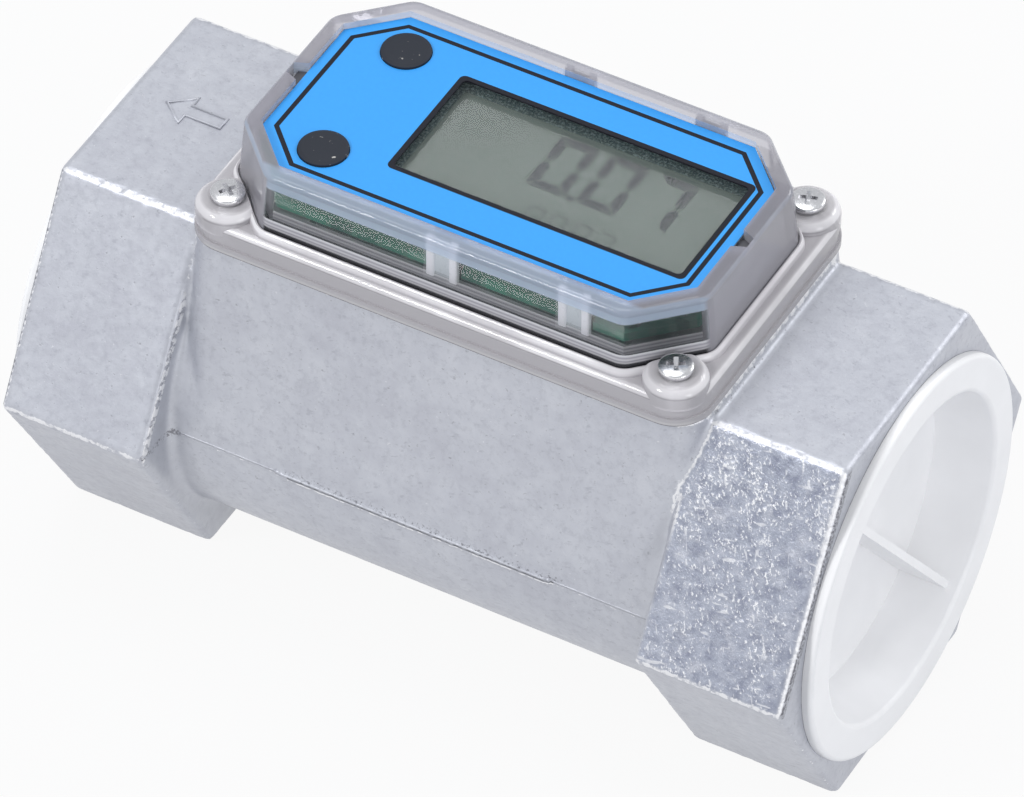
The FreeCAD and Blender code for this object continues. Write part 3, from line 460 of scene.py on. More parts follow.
def castFinish():
    # cast aluminium: faint stains, small pits, painted glints, chewed bright edges that are partly painted
    # highlight, and one shot-blasted face
    finish, tree, shader = newFinish("castAluminium", castTints["plain"], castGloss["roughness"],
                                     castGloss["metallic"])
    blasted, wornAndHighlit, grimy, hollow, creviceShade = [
        node(tree, "ShaderNodeAttribute", attribute_name=name).outputs["Fac"]
        for name in ("blasted", "wornAndHighlit", "grimy", "hollow", "creviceShade")]
    drift = grain(tree, 0.05, 3.0, 0.55)
    cloud = grain(tree, 0.30, 6.0, 0.68)
    speck = grain(tree, 0.9, 3.0, 0.6)
    fine = grain(tree, 2.2, 4.0, 0.65)
    colour = ramp(plus(times(cloud, 0.6), times(drift, 0.4)),
                  ((0.34, castTints["stain"]), (0.50, castTints["plain"]), (0.66, castTints["bright"])))
    shown = []
    for name, strength, start, full, *look in castMarks:
        shown.append(rise(grain(tree, *look), start, full))
        colour = blendColour(times(shown[-1], strength), colour, castTints[name])
    pits = shown[0]

    # the blasted face: a blue-grey ground under crowded bright flecks and a few longer scores
    tilt = math.radians(blastedFace["tilt"] - 90)
    ground = rise(grain(tree, 0.5, 4.0, 0.6), 0.35, 0.60, castTints["blastedShade"], castTints["blasted"])
    crowd = times(minus(grain(tree, 0.12, 3.0), 0.5), 0.30)
    dots = plus(grain(tree, 2.3, 4.0, 0.65, (0.75, 1, 1), (tilt, 0, 1.1)), crowd)
    flecks = larger(rise(dots, 0.565, 0.66), rise(grain(tree, 0.35, 5.0, 0.7), 0.52, 0.72, most=0.30))
    for angle, scale in blastedFace["scores"]:
        score = grain(tree, scale, 2.0, 0.45, (0.25, 1, 1), (tilt, 0, angle))
        flecks = larger(flecks, rise(score, 0.655, 0.70, most=0.6))
    colour = blendColour(blasted, colour, blendColour(flecks, ground, castTints["fleck"]))

    # wear and dirt, ragged with the grain; the fillets' lighter tone is a painted highlight, the bright
    # flecks along edges and the blasted face's rim are partly wear and partly painted highlight, and the
    # near black in the flash's crevice is painted shade
    chips = times(minus(speck, 0.5), 1.5)
    grit = times(minus(fine, 0.5), 2.2)
    rim, band, innerBand = blastedRim(tree, blasted)
    for name, share in (
            ("bright", times(hollow, 0.45)),
            ("fleck", times(rise(plus(wornAndHighlit, chips), 0.46, 0.66), 0.85)),
            ("pit", times(rise(plus(grimy, grit), 0.62, 0.84), 0.75)),
            ("fleck", times(times(rim, rise(speck, 0.32, 0.46, 0.35)), 0.9)),
            ("pit", times(innerBand, rise(fine, 0.45, 0.60, most=0.6))),
            ("fleck", times(innerBand, rise(speck, 0.44, 0.52))),
            ("pit", times(times(band, rise(fine, 0.42, 0.56, 0.15)), 0.8)),
            ("creviceShade", creviceShade)):
        colour = blendColour(share, colour, castTints[name])
    tint(shader, colour)
    gloss = overGrain(speck, castGloss["smooth"], castGloss["rough"])
    feed(shader.inputs["Roughness"], blendColour(blasted, gloss, (castGloss["blasted"],) * 3))
    height = minus(plus(times(fine, 0.45), times(speck, 0.6)), times(pits, 0.5))
    bump(shader, plus(height, times(times(dots, blasted), 4.0)), castGloss["bump"], castGloss["depth"])
    return finish


# zones of the two clear mouldings: colour, alpha and transmission; heights are mm below the lid's top. The
# edge, outline, band, foot, front and end zones paint light and shade, as noted at each

skirtTone = ((0.84, 0.815, 0.855), 0.70, 0.28)
clearLook = {
    "lid": {
        "clear": ((0.93, 0.92, 0.95), 0.20, 0.95),
        "wall": ((0.70, 0.80, 0.84), 0.17, 0.85),
        "rim": ((0.43, 0.42, 0.48), 0.74, 0.40),
        "rimAbove": 0.95,
        # pale blue band: a painted view through the wall of the blue label
        "band": ((0.50, 0.60, 0.76), 0.70, 0.20),
        # dark outline on the steep faces: painted shade
        "outline": ((0.16, 0.155, 0.18), 0.80, 0.20),
        "bandTop": 0.5,
        "bandFoot": 2.35,
        # foot: a painted shadow at the gap under the lid, with painted highlight lines above it
        "foot": ((0.70, 0.685, 0.73), 0.82, 0.20),
        "footBelow": 8.1,
        "footShadowAndHighlightLines": (
            (10.4, (0.03, 0.03, 0.035)), (9.85, (0.07, 0.07, 0.08)), (9.60, (0.62, 0.61, 0.65)),
            (9.35, (0.36, 0.35, 0.39)), (9.05, (0.76, 0.75, 0.80)), (8.7, (0.42, 0.41, 0.46)),
            (8.35, (0.84, 0.84, 0.88))),
        # edge: a painted highlight on the rounded edges
        "edge": ((0.60, 0.62, 0.71), 0.68, 0.30),
        # front: the pale blue again on the front of the rim, a painted view of the label through it
        "front": ((0.50, 0.575, 0.72), 0.66, 0.25),
        # end: darker grey on the walls facing the ends, painted shade
        "end": ((0.50, 0.49, 0.54), 0.68, 0.20),
    },
    "skirt": {
        **dict.fromkeys(("clear", "wall", "rim", "front", "end"), skirtTone),
        "rimAbove": 0.0,
        # band: a thin painted highlight line above the foot
        "band": ((0.86, 0.845, 0.86), 0.75, 0.25),
        # outline: painted shade on the steep faces
        "outline": ((0.62, 0.60, 0.63), 0.70, 0.25),
        "bandTop": 15.9,
        "bandFoot": 16.35,
        # foot: painted shadow in the gap at the skirt's foot
        "foot": ((0.05, 0.05, 0.055), 0.95, 0.05),
        "footBelow": 16.4,
        # edge: a painted highlight on the rounded edges
        "edge": ((0.92, 0.905, 0.93), 0.88, 0.10),
    },
}

# where each zone starts and ends, by how far a face looks up, forward or sideways

clearZones = {
    "depth": 20.0,  # mm, the whole run of the ramps by height
    "soft": 0.006,
    "upright": (0.30, 0.45),
    "edge": (0.20, 0.42, 0.84, 0.97),
    "edgeGrain": (0.35, 0.65, 0.55),
    "outline": (0.10, 0.16, 0.22, 0.30),
    "forward": (0.22, 0.40),
    "leftward": (0.25, 0.40),
    "rightward": (0.80, 0.92),
    "halfWidth": 30,
    "nearRim": (0.675, 0.70),
}


def clearPlastic(name, look):
    # clear plastic: open walls and a tinted rim, with painted highlights on its rounded edges, painted dark
    # outlines, a painted view of the label in a band and on the front, painted shade on the end walls, and
    # a painted shadow gap with painted highlight lines at its foot
    a = clearZones
    colour, alpha, transmission = look["clear"]
    finish, tree, shader = newFinish(name, colour, 0.02)
    shader.inputs["IOR"].default_value = 1.47
    spot, facing = axesOf(tree, "Object"), axesOf(tree, "Normal")
    level = maths("ABSOLUTE", facing["Z"])
    depth, soft = a["depth"], a["soft"]
    share = plus(times(spot["Z"], 1 / (depth * mm)), 1 - lidTop / (depth * mm))

    def at(below):
        return 1 - below / depth

    top, foot, rim, base = [at(look[key]) for key in ("bandTop", "bandFoot", "rimAbove", "footBelow")]
    upright = rise(level, *a["upright"], 1.0, 0.0)
    aboveRim = rise(share, rim - soft, rim)
    forward = rise(times(facing["Y"], -1.0), *a["forward"])
    nearRim = rise(times(spot["Y"], -1 / (a["halfWidth"] * mm)), *a["nearRim"])
    leftward = rise(times(facing["X"], -1.0), *a["leftward"])
    rightward = rise(facing["X"], *a["rightward"])
    # the edge, outline, band, foot, front and end masks place painted light and shade
    masks = {
        "wall": upright,
        "rim": aboveRim,
        "band": times(hump(share, foot - soft, foot + soft, top - soft, top + soft), upright),
        "foot": rise(share, base - soft / 2, base + soft / 2, 1.0, 0.0),
        "edge": times(hump(level, *a["edge"]), rise(grain(tree, 0.10, 3.0), *a["edgeGrain"])),
        "outline": hump(level, *a["outline"]),
        "front": times(larger(forward, nearRim), aboveRim),
        "end": times(larger(leftward, rightward), upright),
    }
    tone = overGrain(grain(tree, 0.06), tuple(c * 0.95 for c in colour), colour)
    for zone, mask in masks.items():
        shown, cover, passing = look[zone]
        if zone == "foot" and "footShadowAndHighlightLines" in look:
            shown = ramp(share, [(at(below), line) for below, line in look["footShadowAndHighlightLines"]])
        tone = blendColour(mask, tone, shown)
        alpha = between(mask, alpha, cover)
        transmission = between(mask, transmission, passing)
    for socket, value in (("Base Color", tone), ("Alpha", alpha), ("Transmission Weight", transmission)):
        feed(shader.inputs[socket], value)
    feed(shader.inputs["Roughness"], rise(grain(tree, 0.8, 5.0, 0.7), 0.60, 0.80, most=0.06))
    return finish


def boardFinish():
    # green circuit board with faint copper tracks under the mask
    finish, tree, shader = newFinish("circuitBoard", (0.03, 0.25, 0.165), 0.35)
    tracks = node(tree, "ShaderNodeTexBrick", Scale=1 / (9 * mm), **{"Mortar Size": 0.05})
    for socket, value in (("Vector", objectPlace(tree)), ("Color1", (0.03, 0.24, 0.155)),
                          ("Color2", (0.018, 0.11, 0.08)), ("Mortar", (0.05, 0.20, 0.14))):
        feed(tracks.inputs[socket], value)
    tint(shader, tracks.outputs["Color"])
    bump(shader, grain(tree, 1.2), 0.1, 0.02)
    return finish


def windingFinish():
    # enamelled copper wire laid in close turns
    finish, tree, shader = newFinish("copperWire", (0.62, 0.24, 0.10), 0.3, 1.0)
    turns = node(tree, "ShaderNodeTexWave", Scale=1.2 / mm, wave_type="BANDS", bands_direction="Z")
    feed(turns.inputs["Vector"], objectPlace(tree))
    tint(shader, rise(turns.outputs["Fac"], 0.1, 0.8, (0.3, 0.09, 0.04), (0.7, 0.3, 0.13)))
    bump(shader, turns.outputs["Fac"], 0.6, 0.08)
    return finish


def labelFinish(name, colour, roughness=0.38):
    # printed film with a soft sheen
    finish, tree, shader = newFinish(name, colour, roughness)
    dark = tuple(c * 0.96 for c in colour)
    tint(shader, overGrain(grain(tree, 1.4, 2.0), dark, colour))
    bump(shader, grain(tree, 0.3), 0.05, 0.02)
    return finish


def displayFinish():
    # the grey-green panel of a liquid crystal display, smooth and faintly uneven in tone
    finish, tree, shader = newFinish("displayGlass", (0.158, 0.205, 0.178), 0.3)
    tint(shader, overGrain(grain(tree, 0.05, 2.0), (0.152, 0.198, 0.172), (0.165, 0.212, 0.185)))
    return finish


def frameFinish():
    # the display's moulded frame, grey-green with pale dust
    finish, tree, shader = newFinish("tealFrame", (0.06, 0.11, 0.11), 0.35)
    dust = grain(tree, 2.4, 3.0, 0.6)
    tint(shader, rise(dust, 0.48, 0.62, (0.035, 0.075, 0.075), (0.26, 0.35, 0.35)))
    return finish


def keyFinish():
    # dark keys with a fine grain and a few pale dust specks
    dark, dust = (0.022, 0.026, 0.036), (0.45, 0.44, 0.42)
    finish, tree, shader = newFinish("darkKey", dark, 0.6)
    shader.inputs["Specular IOR Level"].default_value = 0.25
    tint(shader, rise(grain(tree, 1.1, 2.0, 0.4), 0.70, 0.76, dark, dust))
    bump(shader, grain(tree, 2.5, 4.0, 0.7), 0.35, 0.03)
    return finish


finishes = {
    "cast_aluminium": castFinish(),
    "white_plastic": mouldedPlastic("whitePlastic", (0.90, 0.90, 0.91), 0.42, 0.02, 1.0, 0.02),
    "support_plastic": mouldedPlastic("filledNylon", (0.10, 0.10, 0.11), 0.5, 0.03, 2.0, 0.15),
    "bush_carbon": mouldedPlastic("carbonBush", (0.04, 0.04, 0.045), 0.35, 0.02, 3.0, 0.2),
    "spring_steel": turnedMetal("springSteel", (0.55, 0.55, 0.57), 0.3),
    "rotor_plastic": mouldedPlastic("rotorAcetal", (0.74, 0.73, 0.68), 0.35, 0.02, 1.5, 0.05),
    "ground_steel": turnedMetal("groundSteel", (0.62, 0.62, 0.64), 0.2, (1, 0.15, 0.15)),
    "magnet_alloy": turnedMetal("magnetAlloy", (0.50, 0.50, 0.53), 0.25, (1, 1, 1)),
    "black_plastic": mouldedPlastic("blackPlastic", (0.07, 0.07, 0.075), 0.45, 0.03, 2.0, 0.2),
    "copper_wire": windingFinish(),
    "tinned_pins": turnedMetal("tinnedPins", (0.66, 0.66, 0.66), 0.3, (1, 1, 0.15)),
    "cell_can": mouldedPlastic("cellWrap", (0.05, 0.22, 0.14), 0.35, 0.01, 1.0, 0.1),
    "clear_plastic": clearPlastic("clearPlastic", clearLook["lid"]),
    "black_rubber": mouldedPlastic("blackRubber", (0.055, 0.055, 0.06), 0.7, 0.04, 2.5, 0.3),
    "blue_label": labelFinish("blueLabel", (0.030, 0.325, 0.82)),
    "dark_key": keyFinish(),
    "green_board": boardFinish(),
    "teal_frame": frameFinish(),
    "strip_rubber": mouldedPlastic("contactStrip", (0.30, 0.30, 0.32), 0.6, 0.02, 3.0, 0.2),
    "display_glass": displayFinish(),
    "zinc_steel": turnedMetal("zincSteel", (0.80, 0.80, 0.82), 0.22, (1, 1, 0.3)),
}
slotOf = {row["node"]: row["material_slot"] for row in frame["record"]["subparts"]}
for name, solid in cad.items():
    solid.data.materials.clear()
    solid.data.materials.append(finishes[slotOf[name]])
cad["display_base"].data.materials[0] = clearPlastic("clearSkirt", clearLook["skirt"])
inkFinish = labelFinish("blackInk", (0.012, 0.013, 0.020), 0.5)
inkFinish.node_tree.nodes["Principled BSDF"].inputs["Specular IOR Level"].default_value = 0.2
digitFinish = labelFinish("darkSegment", (0.030, 0.042, 0.046), 0.3)
paleDigitFinish = labelFinish("paleSegment", (0.064, 0.088, 0.080), 0.3)
backingFinish = mouldedPlastic("labelBacking", (0.62, 0.74, 0.86), 0.5, 0.01, 1.0, 0.03)
# pale ribs: a painted highlight for the bright edges of the lid's clear posts
postHighlightFinish = mouldedPlastic("postEdgeHighlight", (0.82, 0.82, 0.87), 0.3, 0.02, 1.0, 0.03)
webFinish = mouldedPlastic("frostedWeb", (0.60, 0.64, 0.68), 0.3, 0.02, 1.0, 0.03)
# the dark plate in each slot is painted shade
shadeFinish = mouldedPlastic("notchShade", (0.09, 0.09, 0.10), 0.5, 0.02, 2.0, 0.2)
print("finishes made")


# the casting, with soft corners and a cast skin

port = {
    "sleeve": 30.6,
    "depth": 24.3,
    "crest": 28.33,
    "root": 29.75,
    "skimmed": 28.85,
    "skimmedLength": 10.0,
    "pitch": 2.309,
    "chamfer": 1.2,
    "around": 180,
    "rowsPerTurn": 12,
    "inset": 0.02,
    "overlap": 0.3,
}
castShape = {
    "hexLength": 25.6,
    "barrelRadius": 31.7,
    "voxel": 0.5,
    "smoothing": 1,
    "fillet": 26,
    "filletReach": 2.8,
    "filletBelow": 0.8,
    "blastedLength": 26,
    "blastedFrom": 0.90,
    # how deep each unevenness goes in mm, and its waves to the metre
    "swell": (0.05, 120),
    "skin": (0.03, 900),
    "blast": (0.05, 1500),
    "chew": (0.22, 650),
}
castWearDirtAndHighlights = {
    # inward to endMost: the bright lines along the hexagons' edges and the port's end, partly wear and
    # partly painted highlight
    "inward": 2,
    "downward": 3,
    "corner": 1.0,
    "inner": 1.25,
    "innerMost": 0.74,
    "endLine": 0.55,
    "endLineWidth": 0.45,
    "endMost": 0.85,
    "endGrime": 1.5,
    "grimeMost": 1.15,
    "grimeEnd": 0.42,
    "grimeBelow": 0.15,
    "otherEnds": 0.35,
    "seamFrom": -23.0,
    "seamTo": 26.0,
    "seamLevel": 0.8,
    "seamReach": 1.7,
    "seamDirt": 0.62,
    "stainAt": -42.6,
    "stainSize": (1.9, 1.1),
    "stainMost": 1.5,
    "stainDirt": 0.66,
    "padDepth": 0.7,
    "padWear": 0.60,
    "padFootIn": 1.5,
    "padFootOut": 0.9,
    "padFootWear": 0.26,
    "padFootDirt": 0.46,
}


def bodyCutter(side):
    # takes the port's wall away, so that the threaded wall can take its place
    work = bmesh.new()
    bmesh.ops.create_cone(work, cap_ends=True, segments=180, radius1=port["sleeve"] * mm,
                          radius2=port["sleeve"] * mm, depth=port["depth"] * 2 * mm)
    turned = Matrix.Rotation(math.pi / 2, 4, "Y")
    work.transform(Matrix.Translation((side * portFace, 0, axisLevel)) @ turned)
    return addObject("cutter", meshOf("cutter", work))


def flatsReach(spot):
    # how far a point lies from the pipe axis, measured square to the nearest pair of flats
    across = spot.y * math.sqrt(0.75)
    up = spot.z - axisLevel
    return max(abs(up), abs(up / 2 + across), abs(up / 2 - across))


def nearHollow(spot):
    # true beside the inner face of a hexagon, where the barrel and the tower run into it
    a = castShape
    inner = portFace - a["hexLength"] * mm
    beside = abs(abs(spot.x) - inner) < a["filletReach"] * mm
    return beside and flatsReach(spot) < axisLevel - a["filletBelow"] * mm


def edgeMarks(spot):
    # how worn and how dirty a point is, by its distance from the hexagons' edges; the bright worn lines
    # along the edges and the port's end are partly wear and partly painted highlight
    a = castWearDirtAndHighlights
    across = abs(spot.x) / mm
    inner = portFace / mm - castShape["hexLength"]
    below = (axisLevel - flatsReach(spot)) / mm
    if across < inner - a["inward"] or below > a["downward"]:
        return 0.0, 0.0
    reach = axisLevel / math.cos(math.radians(30))
    turn = round(math.degrees(math.atan2(spot.z - axisLevel, spot.y)) / 60) * math.pi / 3
    corner = math.hypot(spot.y - reach * math.cos(turn), spot.z - axisLevel - reach * math.sin(turn)) / mm
    end = portFace / mm - across
    blastedEnd = 1.0 if spot.y < -reach / 2 and spot.z > axisLevel else a["otherEnds"]
    endWearAndHighlight = (a["endMost"] - abs(end - a["endLine"]) / a["endLineWidth"]) * (0.5 + 0.5 * blastedEnd)
    wornAndHighlit = max(1 - corner / a["corner"],
               a["innerMost"] - math.hypot(across - inner, below) / a["inner"],
               endWearAndHighlight, 0.0)
    grimy = 0.0
    if end < a["grimeEnd"] and below > a["grimeBelow"]:
        grimy = max(0.0, a["grimeMost"] - below / a["endGrime"]) * blastedEnd
    return wornAndHighlit * (1 - min(1.0, grimy)), min(1.0, grimy)


def seamDirt(spot):
    # dirt along the seam of the casting's two dies, and where it meets the hexagon
    a = castWearDirtAndHighlights
    height = (spot.z - axisLevel) / mm
    x = spot.x / mm
    if spot.y > 0 or abs(height) > 2 * a["seamReach"]:
        return 0.0
    along = 1.0 if a["seamFrom"] < x < a["seamTo"] else 0.0
    halfX, halfZ = a["stainSize"]
    stain = max(0.0, a["stainMost"] - math.hypot((x - a["stainAt"]) / halfX, height / halfZ))
    seam = max(0.0, 1 - abs(height - a["seamLevel"]) / a["seamReach"])
    return max(a["seamDirt"] * along * seam, a["stainDirt"] * stain)


def makeCasting():
    a = castShape
    rough = addObject("roughCasting", cad["meter_body"].data.copy())
    weld = rough.modifiers.new("weld", "WELD")
    weld.merge_threshold = 0.002 * mm
    cutters = [bodyCutter(side) for side in (1, -1)]
    for cutter in cutters:
        cut = rough.modifiers.new("port", "BOOLEAN")
        cut.operation = "DIFFERENCE"
        cut.solver = "EXACT"
        cut.object = cutter
    remesh = rough.modifiers.new("voxels", "REMESH")
    remesh.mode = "VOXEL"
    remesh.voxel_size = a["voxel"] * mm
    blank = addObject("blankCasting", applied(rough))
    hollows = blank.vertex_groups.new(name="hollows")
    for vertex in blank.data.vertices:
        if nearHollow(vertex.co):
            hollows.add([vertex.index], 1.0, "REPLACE")
    for iterations, group in ((a["smoothing"], ""), (a["fillet"], "hollows")):
        soften = blank.modifiers.new("soften", "SMOOTH")
        soften.factor = 0.5
        soften.iterations = iterations
        soften.vertex_group = group
    mesh = applied(blank)
    for spare in cutters + [rough, blank]:
        bpy.data.objects.remove(spare)
    mesh.name = "castBody"
    shapeSkin(mesh)
    shade(mesh, True)
    return addObject("castBody", mesh, finishes["cast_aluminium"])


def waves(spot, kind, shift=None):
    where = spot * castShape[kind][1]
    return noise.noise(where + shift if shift else where)


def shapeSkin(mesh):
    # push the outer skin in a little, unevenly, and mark the blasted face, the worn edges, which are partly
    # painted highlight, and the fillets beside the hexagons' inner faces, which get a painted highlight
    a = castWearDirtAndHighlights
    deep = {kind: castShape[kind][0] for kind in ("swell", "skin", "blast", "chew")}
    marks = {name: [0.0] * len(mesh.vertices) for name in ("blasted", "wornAndHighlit", "grimy", "hollow")}
    tilt = math.radians(blastedFace["tilt"])
    blastNormal = Vector((0, -math.cos(tilt), math.sin(tilt)))
    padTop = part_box("meter_body")[1].z
    padEnd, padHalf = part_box("display_base")[1].x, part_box("display_base")[1].y
    footFrom, footTo = padEnd - a["padFootIn"] * mm, padEnd + a["padFootOut"] * mm
    normals = [v.normal.copy() for v in mesh.vertices]
    for k, vertex in enumerate(mesh.vertices):
        spot = vertex.co
        inBore = math.hypot(spot.y, spot.z - axisLevel) < port["sleeve"] * mm + 0.2 * mm
        inPocket = spot.z > aboveAxis(28) and abs(spot.x - housingX) < 30 * mm and abs(spot.y) < 22 * mm
        if inBore or inPocket or spot.z > padTop - 0.1 * mm:
            continue
        facing = max(0.0, normals[k].dot(blastNormal) - castShape["blastedFrom"]) * 10
        blast = facing if spot.x > portFace - castShape["blastedLength"] * mm else 0.0
        marks["blasted"][k] = min(1.0, blast * 1.2)
        edgeWearAndHighlight, grime = edgeMarks(spot)
        marks["wornAndHighlit"][k] = edgeWearAndHighlight
        marks["grimy"][k] = max(grime, seamDirt(spot))
        if spot.z > padTop - a["padDepth"] * mm:
            marks["wornAndHighlit"][k] = a["padWear"]
        elif spot.z > hexTop - 0.2 * mm and footFrom < spot.x < footTo and abs(spot.y) < padHalf:
            marks["wornAndHighlit"][k], marks["grimy"][k] = a["padFootWear"], a["padFootDirt"]
        # the fillets beside the hexagons' inner faces: a painted highlight
        marks["hollow"][k] = 1.0 if nearHollow(spot) else 0.0
        swell, skin, grit = [waves(spot, kind) * 0.5 + 0.5 for kind in ("swell", "skin", "blast")]
        chew = max(0.0, waves(spot, "chew", Vector((9, 4, 2)))) * 2 * edgeWearAndHighlight
        depth = deep["swell"] * swell + deep["skin"] * skin + deep["blast"] * blast * grit
        depth += deep["chew"] * chew
        vertex.co = spot - normals[k] * depth * mm
    for name, values in marks.items():
        addMarks(mesh, name, values)


castBody = place(makeCasting(), "cast_aluminium", "meter_body")
print("casting made,", len(castBody.data.polygons), "faces")


def makePortWall(name, side):
    # the port's wall with its pipe thread: crests, roots and a skimmed mouth
    a = port
    length, pitch = a["depth"] * mm, a["pitch"] * mm
    rows = int(a["depth"] / a["pitch"] * a["rowsPerTurn"])
    count = a["around"]
    verts = []
    for j in range(rows + 1):
        inward = length * j / rows
        for k in range(count):
            angle = 2 * math.pi * k / count
            turnShare = (inward / pitch + k / count) % 1
            groove = 1 - abs(turnShare * 2 - 1)
            crest = a["skimmed"] if inward < a["skimmedLength"] * mm else a["crest"]
            radius = a["crest"] + (a["root"] - a["crest"]) * groove
            runOut = min(1.0, (length - inward) / pitch)
            radius = max(crest, a["crest"] + (radius - a["crest"]) * runOut)
            mouth = a["skimmed"] + a["chamfer"] - inward / mm
            radius = max(radius, min(mouth, a["sleeve"] - 0.1)) * mm
            verts.append(Vector((side * (portFace - a["inset"] * mm - inward), radius * math.cos(angle),
                                 axisLevel + radius * math.sin(angle))))
    for inward in (length, 0.0):
        ringX = side * (portFace - a["inset"] * mm - inward)
        outer = a["sleeve"] * mm + a["overlap"] * mm
        verts += [Vector((ringX, y, axisLevel + z)) for y, z in circleLine(outer, count=count)]
    mesh = meshFrom(name, verts, gridFaces(rows + 3, count), False)
    place(addObject(name, mesh), "cast_aluminium")


makePortWall("inletThread", 1)
makePortWall("outletThread", -1)
print("threads made")

# the raised outline that shows which way the liquid flows

arrow = {
    "tip": -62.1,
    "head": -58.2,
    "tail": -51.9,
    "middle": 0.45,
    "halfHead": 3.2,
    "halfShaft": 1.2,
    "line": 0.34,
    "sink": 0.06,
}


def makeArrow():
    a = arrow
    half = [(a["tip"], 0), (a["head"], a["halfHead"]),
            (a["head"], a["halfShaft"]), (a["tail"], a["halfShaft"])]
    corners = half + [(x, -y) for x, y in half[:0:-1]]
    curve = bpy.data.curves.new("flowArrow", "CURVE")
    curve.dimensions = "3D"
    addLine(curve, [(x * mm, (y + a["middle"]) * mm, hexTop - a["sink"] * mm) for x, y in corners])
    curve.bevel_depth = a["line"] * mm
    curve.bevel_resolution = 3
    place(addObject("flowArrow", curveMesh("arrowCurve", curve)), "cast_aluminium")


makeArrow()

# the ragged flash that the casting's two dies left along the barrel, deepest on its middle step, with a
# painted shade line above its ridge and a pale crest that is partly chipped metal and partly painted
# highlight

flash = {
    "from": -41.6,
    "to": 41.6,
    "step": 0.3,
    "fade": 2,
    "stepFrom": -22.0,
    "stepTo": 25.0,
    "above": 0.42,
    "below": 0.40,
    "proud": 0.05,
    "stepProud": 0.16,
    "leastProud": 0.04,
    "ragged": 0.20,
    # dark and stepDark: the painted shade above the ridge; pale and stepPale: its crest, partly painted
    # highlight
    "dark": 0.35,
    "stepDark": 0.85,
    "pale": 0.45,
    "stepPale": 0.62,
    "ridgeReach": 0.6,
    "mostCrest": 0.7,
    "sunk": -0.10,
    "root": -0.6,
}


def makeFlash(name, side):
    a = flash
    barrel = castShape["barrelRadius"] * mm
    ridge = {}
    for vertex in castBody.data.vertices:
        spot = vertex.co
        if spot.y * side > 0 and abs(spot.z - axisLevel) < a["ridgeReach"] * mm:
            key = round(spot.x / mm)
            ridge[key] = max(ridge.get(key, 0.0), spot.y * side)
    count = int((a["to"] - a["from"]) / a["step"])
    verts, marks, shines = [], [], []
    for k in range(count + 1):
        x = a["from"] + a["step"] * k
        stepped = a["stepFrom"] < x < a["stepTo"]
        wave = noise.noise(Vector((x * 0.9, side * 7, 1)))
        chip = noise.noise(Vector((x * 3.1, side * 7, 5)))
        proud = (a["stepProud"] if stepped else a["proud"]) * (0.75 + 0.5 * wave) + a["ragged"] * 0.4 * chip
        ends = min(1.0, (x - a["from"]) / a["fade"], (a["to"] - x) / a["fade"])
        proud = max(a["leastProud"], proud * ends)
        level = 0.25 * wave + (0.12 * chip if stepped else 0.0)
        # stain varies how dark the painted shade line is
        stain = min(1.0, max(0.0, 0.75 + 0.7 * wave + 0.4 * chip))
        dark = (a["stepDark"] if stepped else a["dark"]) * stain
        pale = (a["stepPale"] if stepped else a["pale"]) + 0.25 * chip
        top = a["above"]
        crest = min(a["mostCrest"], (max(barrel, ridge.get(round(x), barrel)) - barrel) / mm)
        rows = (
            # height, how proud, how dark (painted shade), how bright (partly wear, partly painted
            # highlight)
            (top + crest + 0.1, a["sunk"], 0.0, 0.0),
            (top * 0.85, crest + 0.02, dark * 0.2, 0.0),
            (top * 0.60 + level * 0.3, crest + 0.04, dark, 0.0),
            (level + 0.10, crest + proud * 0.7, dark, 0.0),
            (level, crest + proud, 0.0, pale),
            (level - 0.28, crest + proud * 0.8, 0.0, pale * 0.8),
            (-a["below"] - crest, a["sunk"], 0.0, 0.0),
            (0.0, a["root"], 0.0, 0.0),
        )
        for height, lift, mark, shine in rows:
            verts.append(Vector((x * mm, side * (barrel + lift * mm), axisLevel + height * mm)))
            marks.append(mark)
            shines.append(shine)
    around = len(rows)
    ends = [tuple(range(around)), tuple(reversed(range(count * around, (count + 1) * around)))]
    mesh = meshFrom(name, verts, ends + gridFaces(count + 1, around, False))
    addMarks(mesh, "creviceShade", marks)
    addMarks(mesh, "wornAndHighlit", shines)
    place(addObject(name, mesh), "cast_aluminium")


makeFlash("frontFlash", -1)
makeFlash("backFlash", 1)

# the label and what is printed on it

label = {
    "halfX": 37.85,
    "halfY": 20.0,
    "cut": 7.55,
    "sink": 0.03,
    "backing": 0.1,
    "lineHalfX": 36.24,
    "lineHalfY": 18.35,
    "lineCut": 6.6,
    "lineWidth": 0.78,
    "ink": 0.02,
    "inkWall": 0.06,
    "windowMiddle": (9.0, 0.6),
    "windowHalfX": 25.0,
    "windowHalfY": 11.1,
    "windowRound": 0.8,
    "border": 0.8,
    "borderRight": 0.85,
    "borderRound": 1.0,
    "keyX": -26.9,
    "keyY": 12.7,
    "keyHole": 4.1,
}


def windowShape(grow, corner=label["windowRound"], wide=0.0):
    # the window's outline, grown on all sides, and wider by some at its right
    x, y = label["windowMiddle"]
    shape = roundedBox(label["windowHalfX"] + grow + wide, label["windowHalfY"] + grow, corner)
    return moved(shape, x + wide, y)


